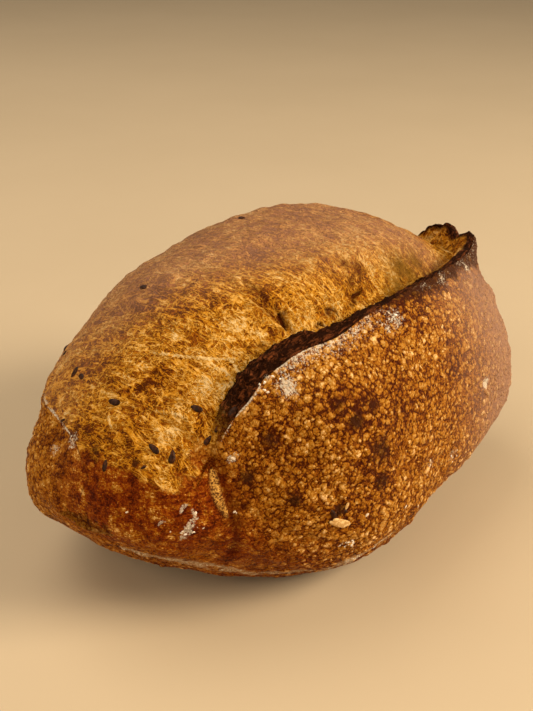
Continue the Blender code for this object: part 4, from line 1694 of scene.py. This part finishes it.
@dataclass(frozen=True)
class CrustPiece:
    """A run of the crust's columns as one closed solid, down to the spine inside the loaf.

    Attributes:
        name: the piece's name.
        stretches: the runs of columns that it has.
    """

    name: str
    stretches: tuple[Stretch, ...]

    def faces(self, rings: int, columns: int) -> tuple[Array, Array]:
        """The corner numbers of the crust's quads, then of its triangles.

        Points are numbered ring by ring, then the near tip, the far tip and the spine. The triangles fan
        out to each tip, and join the two long borders to the spine.

        Args:
            rings: how many rings.
            columns: how many columns.

        Returns:
            Rows of four and rows of three.
        """
        number = np.arange(rings * columns).reshape(rings, columns)
        near, far, *inside = rings * columns + np.arange(rings + 2)
        spine = np.array([near, *inside, far])
        walls = []
        for column in (0, -1):
            line = np.array([near, *number[:, column], far])
            outer = np.stack([line[:-2], line[1:-1], spine[1:-1]], axis=-1)
            inner = np.stack([line[1:-1], spine[2:], spine[1:-1]], axis=-1)
            walls.append(np.concatenate([outer, inner]))
        triangles = np.concatenate([fans(number, near, far), np.flip(walls[0], axis=1), walls[1]])
        return quads_between(number), triangles

    def build(self, grid: CrustGrid, finish: bpy.types.Material) -> bpy.types.Object:
        """Cuts the piece out of the grid.

        Args:
            grid: the whole crust.
            finish: its material.

        Returns:
            The piece.
        """
        picked = grid.columns(*self.stretches)
        points = grid.points[:, picked]
        rings, columns = points.shape[:2]
        corners = np.concatenate([points.reshape(-1, 3), grid.tips, grid.spine])
        quads, triangles = self.faces(rings, columns)
        mesh = new_mesh(self.name, corners, quads, triangles)
        self.shade(mesh, grid, picked, len(quads), columns)
        for name, mask in grid.masks.items():
            layer = mesh.attributes.new(name, "FLOAT", "POINT")
            spread = np.broadcast_to(mask, grid.points.shape[:2])[:, picked].ravel()
            spread = np.concatenate([spread, np.zeros(rings + 2)])
            layer.data.foreach_set("value", spread.astype(np.float32))
        self.unwrap(mesh, rings, columns)
        made = link(mesh, finish)
        declare(made)
        LOG.info("%s: %d faces", self.name, len(mesh.polygons))
        return made

    def shade(self, mesh: bpy.types.Mesh, grid: CrustGrid, picked: Array, quads: int, columns: int) -> None:
        """Smooths the crust by the whole grid's outward directions, so that pieces meet unseen.

        Args:
            mesh: the mesh.
            grid: the whole crust.
            picked: the piece's columns.
            quads: how many quads it has.
            columns: how many columns.
        """
        tips = np.array([[-1.0, 0.0, 0.0], [1.0, 0.0, 0.0]])
        out = np.concatenate([grid.outward[:, picked].reshape(-1, 3), tips, np.ones_like(grid.spine)])
        smooth = np.zeros(len(mesh.polygons), bool)
        smooth[: quads + 2 * (columns - 1)] = True
        mesh.polygons.foreach_set("use_smooth", smooth)
        normals = out[read_corners(mesh)]
        walls = 4 * quads + 6 * (columns - 1)
        flat = np.empty(len(mesh.polygons) * 3, np.float32)
        mesh.polygons.foreach_get("normal", flat)
        normals[walls:] = np.repeat(flat.reshape(-1, 3)[~smooth], 3, axis=0)
        mesh.normals_split_custom_set(normals.astype(np.float32))

    def unwrap(self, mesh: bpy.types.Mesh, rings: int, columns: int) -> None:
        """Lays the crust flat on its map: places across, columns up, the hidden walls in a corner.

        Args:
            mesh: the mesh.
            rings: how many rings.
            columns: how many columns.
        """
        across = np.repeat(np.linspace(0.02, 0.98, rings), columns)
        up = np.tile(np.linspace(0.03, 0.98, columns), rings)
        flat = np.stack([across, up], axis=-1)
        flat = np.concatenate([flat, [[0.01, 0.5], [0.99, 0.5]], np.tile([0.5, 0.01], (rings, 1))])
        layer = mesh.uv_layers.new(name="OFBake")
        layer.uv.foreach_set("vector", flat[read_corners(mesh)].astype(np.float32).ravel())


@dataclass(frozen=True)
class Sprinkle:
    """Small things of one kind on the crust, each sunk a little where a ray toward its spot meets it.

    Rows of the table are place, angle in degrees, turn in the surface in degrees and scale.

    Attributes:
        name: the piece's name.
        finish: its finish.
        size: length, width and thickness of one at a scale of 1.
        shown: the rows of the ones that the photograph shows.
        clusters: spots with crumbs round them; a spot's strength is how many it has.
        scattered: how many more lie on the sides that don't show.
        taper: how much slimmer the far end is.
        ragged: how far its outline strays, as a share of its size.
        faces: rings and columns of one.
        sunk: how deep its middle lies under the crust.
        seed: which scatter.
        place_width: metres along the loaf to a place of 1, for the clusters.
        angle_width: metres round the loaf to an angle of one radian, for the clusters.
        last_place: how far toward a tip a crumb may lie.
        ray_length: how far off the plain loaf the rays start.
        scatter_places: between which places the scattered ones lie.
        scatter_angles: between which angles they lie.
    """

    name: str
    finish: SpeckFinish
    size: tuple[float, float, float]
    shown: tuple[tuple[float, ...], ...]
    clusters: tuple[Spot, ...] = ()
    scattered: int = 0
    taper: float = 0.0
    ragged: float = 0.0
    faces: tuple[int, int] = (16, 14)
    sunk: float = 0.0004
    seed: int = 3
    place_width: float = 0.085
    angle_width: float = 0.075
    last_place: float = 0.97
    ray_length: float = 0.03
    scatter_places: tuple[float, float] = (-0.75, 0.75)
    scatter_angles: tuple[float, float] = (95.0, 195.0)

    def spots(self) -> list[tuple[float, ...]]:
        """The ones that show, the clusters' crumbs, then a few on the sides that don't show.

        Returns:
            Rows as in the table.
        """
        draw = np.random.default_rng(self.seed)
        spots = list(self.shown)
        for spot in self.clusters:
            for _ in range(int(spot.strength)):
                off = draw.normal(0.0, spot.radius / 2, 2)
                place = spot.place + off[0] / self.place_width
                place = min(max(place, -self.last_place), self.last_place)
                angle = spot.angle + math.degrees(off[1] / self.angle_width)
                spots.append((place, angle, draw.uniform(0.0, 180.0), draw.uniform(0.4, 1.1)))
        near, far = self.scatter_places
        for number in range(self.scattered):
            place = near + (far - near) * (number + draw.uniform(0.1, 0.9)) / self.scattered
            angle = draw.uniform(*self.scatter_angles)
            spots.append((place, angle, draw.uniform(0.0, 180.0), draw.uniform(0.7, 1.0)))
        return spots

    def drop(self) -> tuple[Array, Array, Array]:
        """One along X: an ellipsoid of the size, slimmer toward +X, strayed by noise.

        Returns:
            Its points, quads and triangles.
        """
        rings, columns = self.faces
        slope = (np.arange(1, rings) * math.pi / rings)[:, None]
        around = np.arange(columns) * 2 * math.pi / columns
        x = -np.cos(slope) + 0.0 * around
        slim = 1.0 - self.taper * x
        y = np.sin(slope) * np.cos(around) * slim
        z = np.sin(slope) * np.sin(around) * slim
        poles = [[-1.0, 0.0, 0.0], [1.0, 0.0, 0.0]]
        ball = np.concatenate([np.stack([x, y, z], axis=-1).reshape(-1, 3), poles])
        stray = layered_noise(ball, 0.9, 2, self.seed) - 0.5
        points = ball * (1.0 + self.ragged * 2.0 * stray[:, None]) * np.array(self.size) / 2
        near = (rings - 1) * columns
        number = closed(np.arange(near).reshape(rings - 1, columns))
        return points, quads_between(number), fans(number, near, near + 1)

    def build(self, form: LoafForm, crust: BVHTree) -> bpy.types.Object:
        """Lays every one on the crust, all in one mesh.

        Args:
            form: the loaf's plain form, for where the rays start.
            crust: the finished crust, for where they end.

        Returns:
            The piece.
        """
        points, quads, triangles = self.drop()
        laid = []
        for place, angle, turned, scale in self.spots():
            turn = np.array([math.acos(-place)])
            angles = np.array([math.radians(angle)])
            out = Vector(form.outward(turn, angles)[0])
            start = Vector(form.body(turn, angles)[0]) + self.ray_length * out + Vector(form.centring)
            hit, _, _, _ = crust.ray_cast(start, -out)
            beside = out.cross(Vector((1.0, 0.0, 0.0))).normalized()
            facing = Matrix((beside.cross(out), beside, out)).transposed()
            facing = facing @ Matrix.Rotation(math.radians(turned), 3, "Z") * scale
            laid.append(points @ np.array(facing).T + np.array(hit - self.sunk * out))
        count = len(laid)
        step = (np.arange(count) * len(points))[:, None, None]
        quads, triangles = (quads + step).reshape(-1, 4), (triangles + step).reshape(-1, 3)
        mesh = new_mesh(self.name, np.concatenate(laid), quads, triangles)
        mesh.shade_smooth()
        made = link(mesh, self.finish.make())
        declare(made)
        LOG.info("%s: %d", self.name, count)
        return made


SPRINKLES = (
    Sprinkle(
        name="seeds",
        finish=SpeckFinish("dark_seed", (0.014, 0.0035, 0.0012), (0.055, 0.0140, 0.0040), 0.45, 0.14),
        size=(0.0062, 0.0031, 0.0022),
        taper=0.25,
        scattered=12,
        sunk=0.00045,
        shown=(
            (-0.801, 89.1, 98.0, 0.92), (-0.711, 57.9, 106.0, 0.84), (-0.848, 57.2, 88.0, 0.84),
            (-0.831, 46.2, 44.0, 0.86), (-0.651, 47.8, 4.0, 0.86), (-0.742, 42.1, 16.0, 0.76),
            (-0.708, 44.7, 22.0, 0.45), (-0.931, 76.4, 14.0, 0.76), (-0.893, 53.9, 160.0, 0.5),
            (-0.743, 114.2, 60.0, 0.8), (-0.864, 118.1, 94.0, 0.54), (-0.55, 142.4, 15.0, 0.8),
            (0.097, 105.0, 64.0, 0.9), (-0.509, 1.3, 116.0, 0.69), (-0.475, 1.0, 156.0, 0.64),
        ),
    ),
    Sprinkle(
        name="flake",
        finish=SpeckFinish("cream_flake", (0.520, 0.260, 0.070), (0.820, 0.520, 0.200), 0.60, 0.15),
        size=(0.0085, 0.0034, 0.0012),
        ragged=0.35,
        faces=(24, 18),
        sunk=0.0,
        shown=((-0.493, -0.8, 150.0, 1.0), (-0.470, 2.6, 60.0, 0.35)),
    ),
    Sprinkle(
        name="flour_crumbs",
        finish=SpeckFinish("flour_crumb", (0.620, 0.440, 0.260), (0.880, 0.760, 0.580), 0.80, 0.10),
        size=(0.0015, 0.0009, 0.0004),
        ragged=0.55,
        faces=(6, 7),
        sunk=0.0001,
        seed=11,
        shown=(
            (-0.737, 5.1, 20.0, 0.9), (-0.733, 4.6, 80.0, 0.6), (-0.713, 29.9, 130.0, 1.2),
            (-0.709, 29.2, 30.0, 0.9), (-0.214, -4.6, 40.0, 1.2), (-0.116, -10.0, 90.0, 1.2),
            (-0.4, -1.0, 30.0, 1.3), (-0.836, 9.7, 60.0, 1.4), (-0.965, 28.3, 0.0, 0.9),
        ),
        clusters=spots(
            (-0.445, -11.9, 2.8, 26.0), (-0.861, 1.3, 3.4, 14.0), (-0.314, -21.8, 3.0, 6.0),
            (0.098, -4.4, 4.0, 6.0), (-0.054, 0.1, 4.0, 5.0), (-0.54, 50.2, 4.0, 9.0),
            (-0.015, 44.6, 4.0, 6.0),
        ),
    ),
)


# ---------------------------------------------------------------- studio


def turn_to(made: bpy.types.Object, facing: Quaternion) -> None:
    """Turns an object and puts it in the scene.

    Args:
        made: the object.
        facing: its rotation.
    """
    made.rotation_mode = "QUATERNION"
    made.rotation_quaternion = facing
    bpy.context.scene.collection.objects.link(made)


@dataclass(frozen=True)
class Studio:
    """Floor, soft lights and the camera at the photograph's angle.

    Attributes:
        azimuth: the camera's turn about Z in degrees, 0 looking along +Y.
        elevation: its height above the horizon in degrees.
        distance: from the target to the camera.
        target: the point looked at, before the two shifts square to the view.
        shift_right: the camera's shift to its right.
        shift_up: the camera's shift up.
        focal_pixels: focal length in pixels of the 533 by 711 frame.
        frame_height: the frame's height in pixels.
        sensor: the sensor's height in millimetres.
        lamp_target: the height at which the lights aim.
        floor_half: half the floor's side.
        surround: the surround's colour.
        surround_strength: how bright it is.
    """

    azimuth: float = -56.44
    elevation: float = 27.16
    distance: float = 0.48096
    target: tuple[float, float, float] = (0.0, 0.0, 0.04236)
    shift_right: float = 0.00443
    shift_up: float = 0.02382
    focal_pixels: float = 1068.0
    frame_height: float = 711.0
    sensor: float = 36.0
    lamp_target: float = 0.05
    floor_half: float = 6.0
    surround: Colour = (1.0, 0.96, 0.90)
    surround_strength: float = 0.22

    def axes(self) -> tuple[Vector, Vector, Vector]:
        """The camera's right, up and forward directions.

        Returns:
            Three directions at a length of 1.
        """
        turn, rise = math.radians(self.azimuth), math.radians(self.elevation)
        level = math.cos(rise)
        forward = Vector((-math.sin(turn) * level, math.cos(turn) * level, -math.sin(rise)))
        right = Vector((math.cos(turn), math.sin(turn), 0.0))
        return right, right.cross(forward), forward

    def camera(self, form: LoafForm) -> None:
        """Puts the camera where the photograph was taken from.

        Args:
            form: the loaf's plain form.
        """
        right, up, forward = self.axes()
        lens = bpy.data.cameras.new("camera")
        lens.sensor_width = self.sensor
        lens.lens = self.focal_pixels / self.frame_height * self.sensor
        lens.clip_start = 0.01
        made = bpy.data.objects.new("camera", lens)
        place = Vector(self.target) - forward * self.distance
        place = place + right * self.shift_right + up * self.shift_up
        made.location = place + Vector(form.centring)
        turn_to(made, Matrix((right, up, -forward)).transposed().to_quaternion())
        bpy.context.scene.camera = made

    def light(self, name: str, place: Vector, size: float, power: float, colour: Colour) -> None:
        """A square soft light that faces the loaf.

        Args:
            name: its name.
            place: where it stands.
            size: its side.
            power: in watts.
            colour: its colour.
        """
        lamp = bpy.data.lights.new(name, "AREA")
        lamp.size = size
        lamp.energy = power
        lamp.color = colour
        made = bpy.data.objects.new(name, lamp)
        made.location = place
        aim = Vector((0.0, 0.0, self.lamp_target)) - place
        turn_to(made, aim.to_track_quat("-Z", "Y"))

    def floor(self) -> None:
        """A wide flat floor at the loaf's base."""
        corners = self.floor_half * np.array([[-1, -1, 0], [1, -1, 0], [1, 1, 0], [-1, 1, 0]])
        mesh = new_mesh("floor", corners, np.array([[0, 1, 2, 3]]), np.empty((0, 3), int))
        link(mesh, FloorFinish().make())

    def build(self, form: LoafForm) -> None:
        """Floor, lights, a dim even surround and the camera.

        Args:
            form: the loaf's plain form.
        """
        self.floor()
        right, _, forward = self.axes()
        level = Vector((forward.x, forward.y, 0.0)).normalized()
        up = Vector(UP)
        self.light("key", right * 1.15 - level * 0.25 + up * 0.72, 0.6, 30.0, (1.0, 0.95, 0.86))
        self.light("fill", -right * 1.0 - level * 1.0 + up * 0.8, 1.2, 14.0, (1.0, 0.96, 0.90))
        self.light("top", level * 0.3 - right * 0.6 + up * 1.3, 1.2, 14.0, (1.0, 0.97, 0.93))
        world = bpy.data.worlds.new("surround")
        world.use_nodes = True
        inputs = world.node_tree.nodes["Background"].inputs
        inputs["Color"].default_value = (*self.surround, 1.0)
        inputs["Strength"].default_value = self.surround_strength
        bpy.context.scene.world = world
        bpy.context.scene.view_settings.view_transform = "Standard"
        self.camera(form)
        LOG.info("studio: floor, three lights and the camera")


# ---------------------------------------------------------------- the build


PIECES = (
    ("side_low", Stretch.SIDE_LOW),
    ("side_high", Stretch.SIDE_HIGH),
    ("torn_edge", Stretch.TORN, Stretch.INNER),
    ("bloom_front", Stretch.BLOOM_FRONT),
    ("bloom_back", Stretch.BLOOM_BACK),
    ("back", Stretch.BACK),
    ("underside_back", Stretch.BASE_BACK),
    ("underside_front", Stretch.BASE_FRONT),
)


def plain(corners: tuple[Vector, Vector]) -> list[list[float]]:
    """Two corners as plain lists of numbers."""
    return [[float(number) for number in corner] for corner in corners]


def main() -> None:
    """Builds the loaf's pieces in order, then the studio."""
    logging.basicConfig(level=logging.INFO, format="%(name)s: %(message)s")
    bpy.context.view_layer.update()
    form = LoafForm()
    score = Score()
    grid = Crust(form, score).grid()
    Baking(form, score).bake(grid)
    crust = CrustFinish().make()
    for name, *stretches in PIECES:
        CrustPiece(name, tuple(stretches)).build(grid, crust)
    tree = grid.tree()
    for sprinkle in SPRINKLES:
        sprinkle.build(form, tree)
    Studio().build(form)


if __name__ == "__main__":
    main()
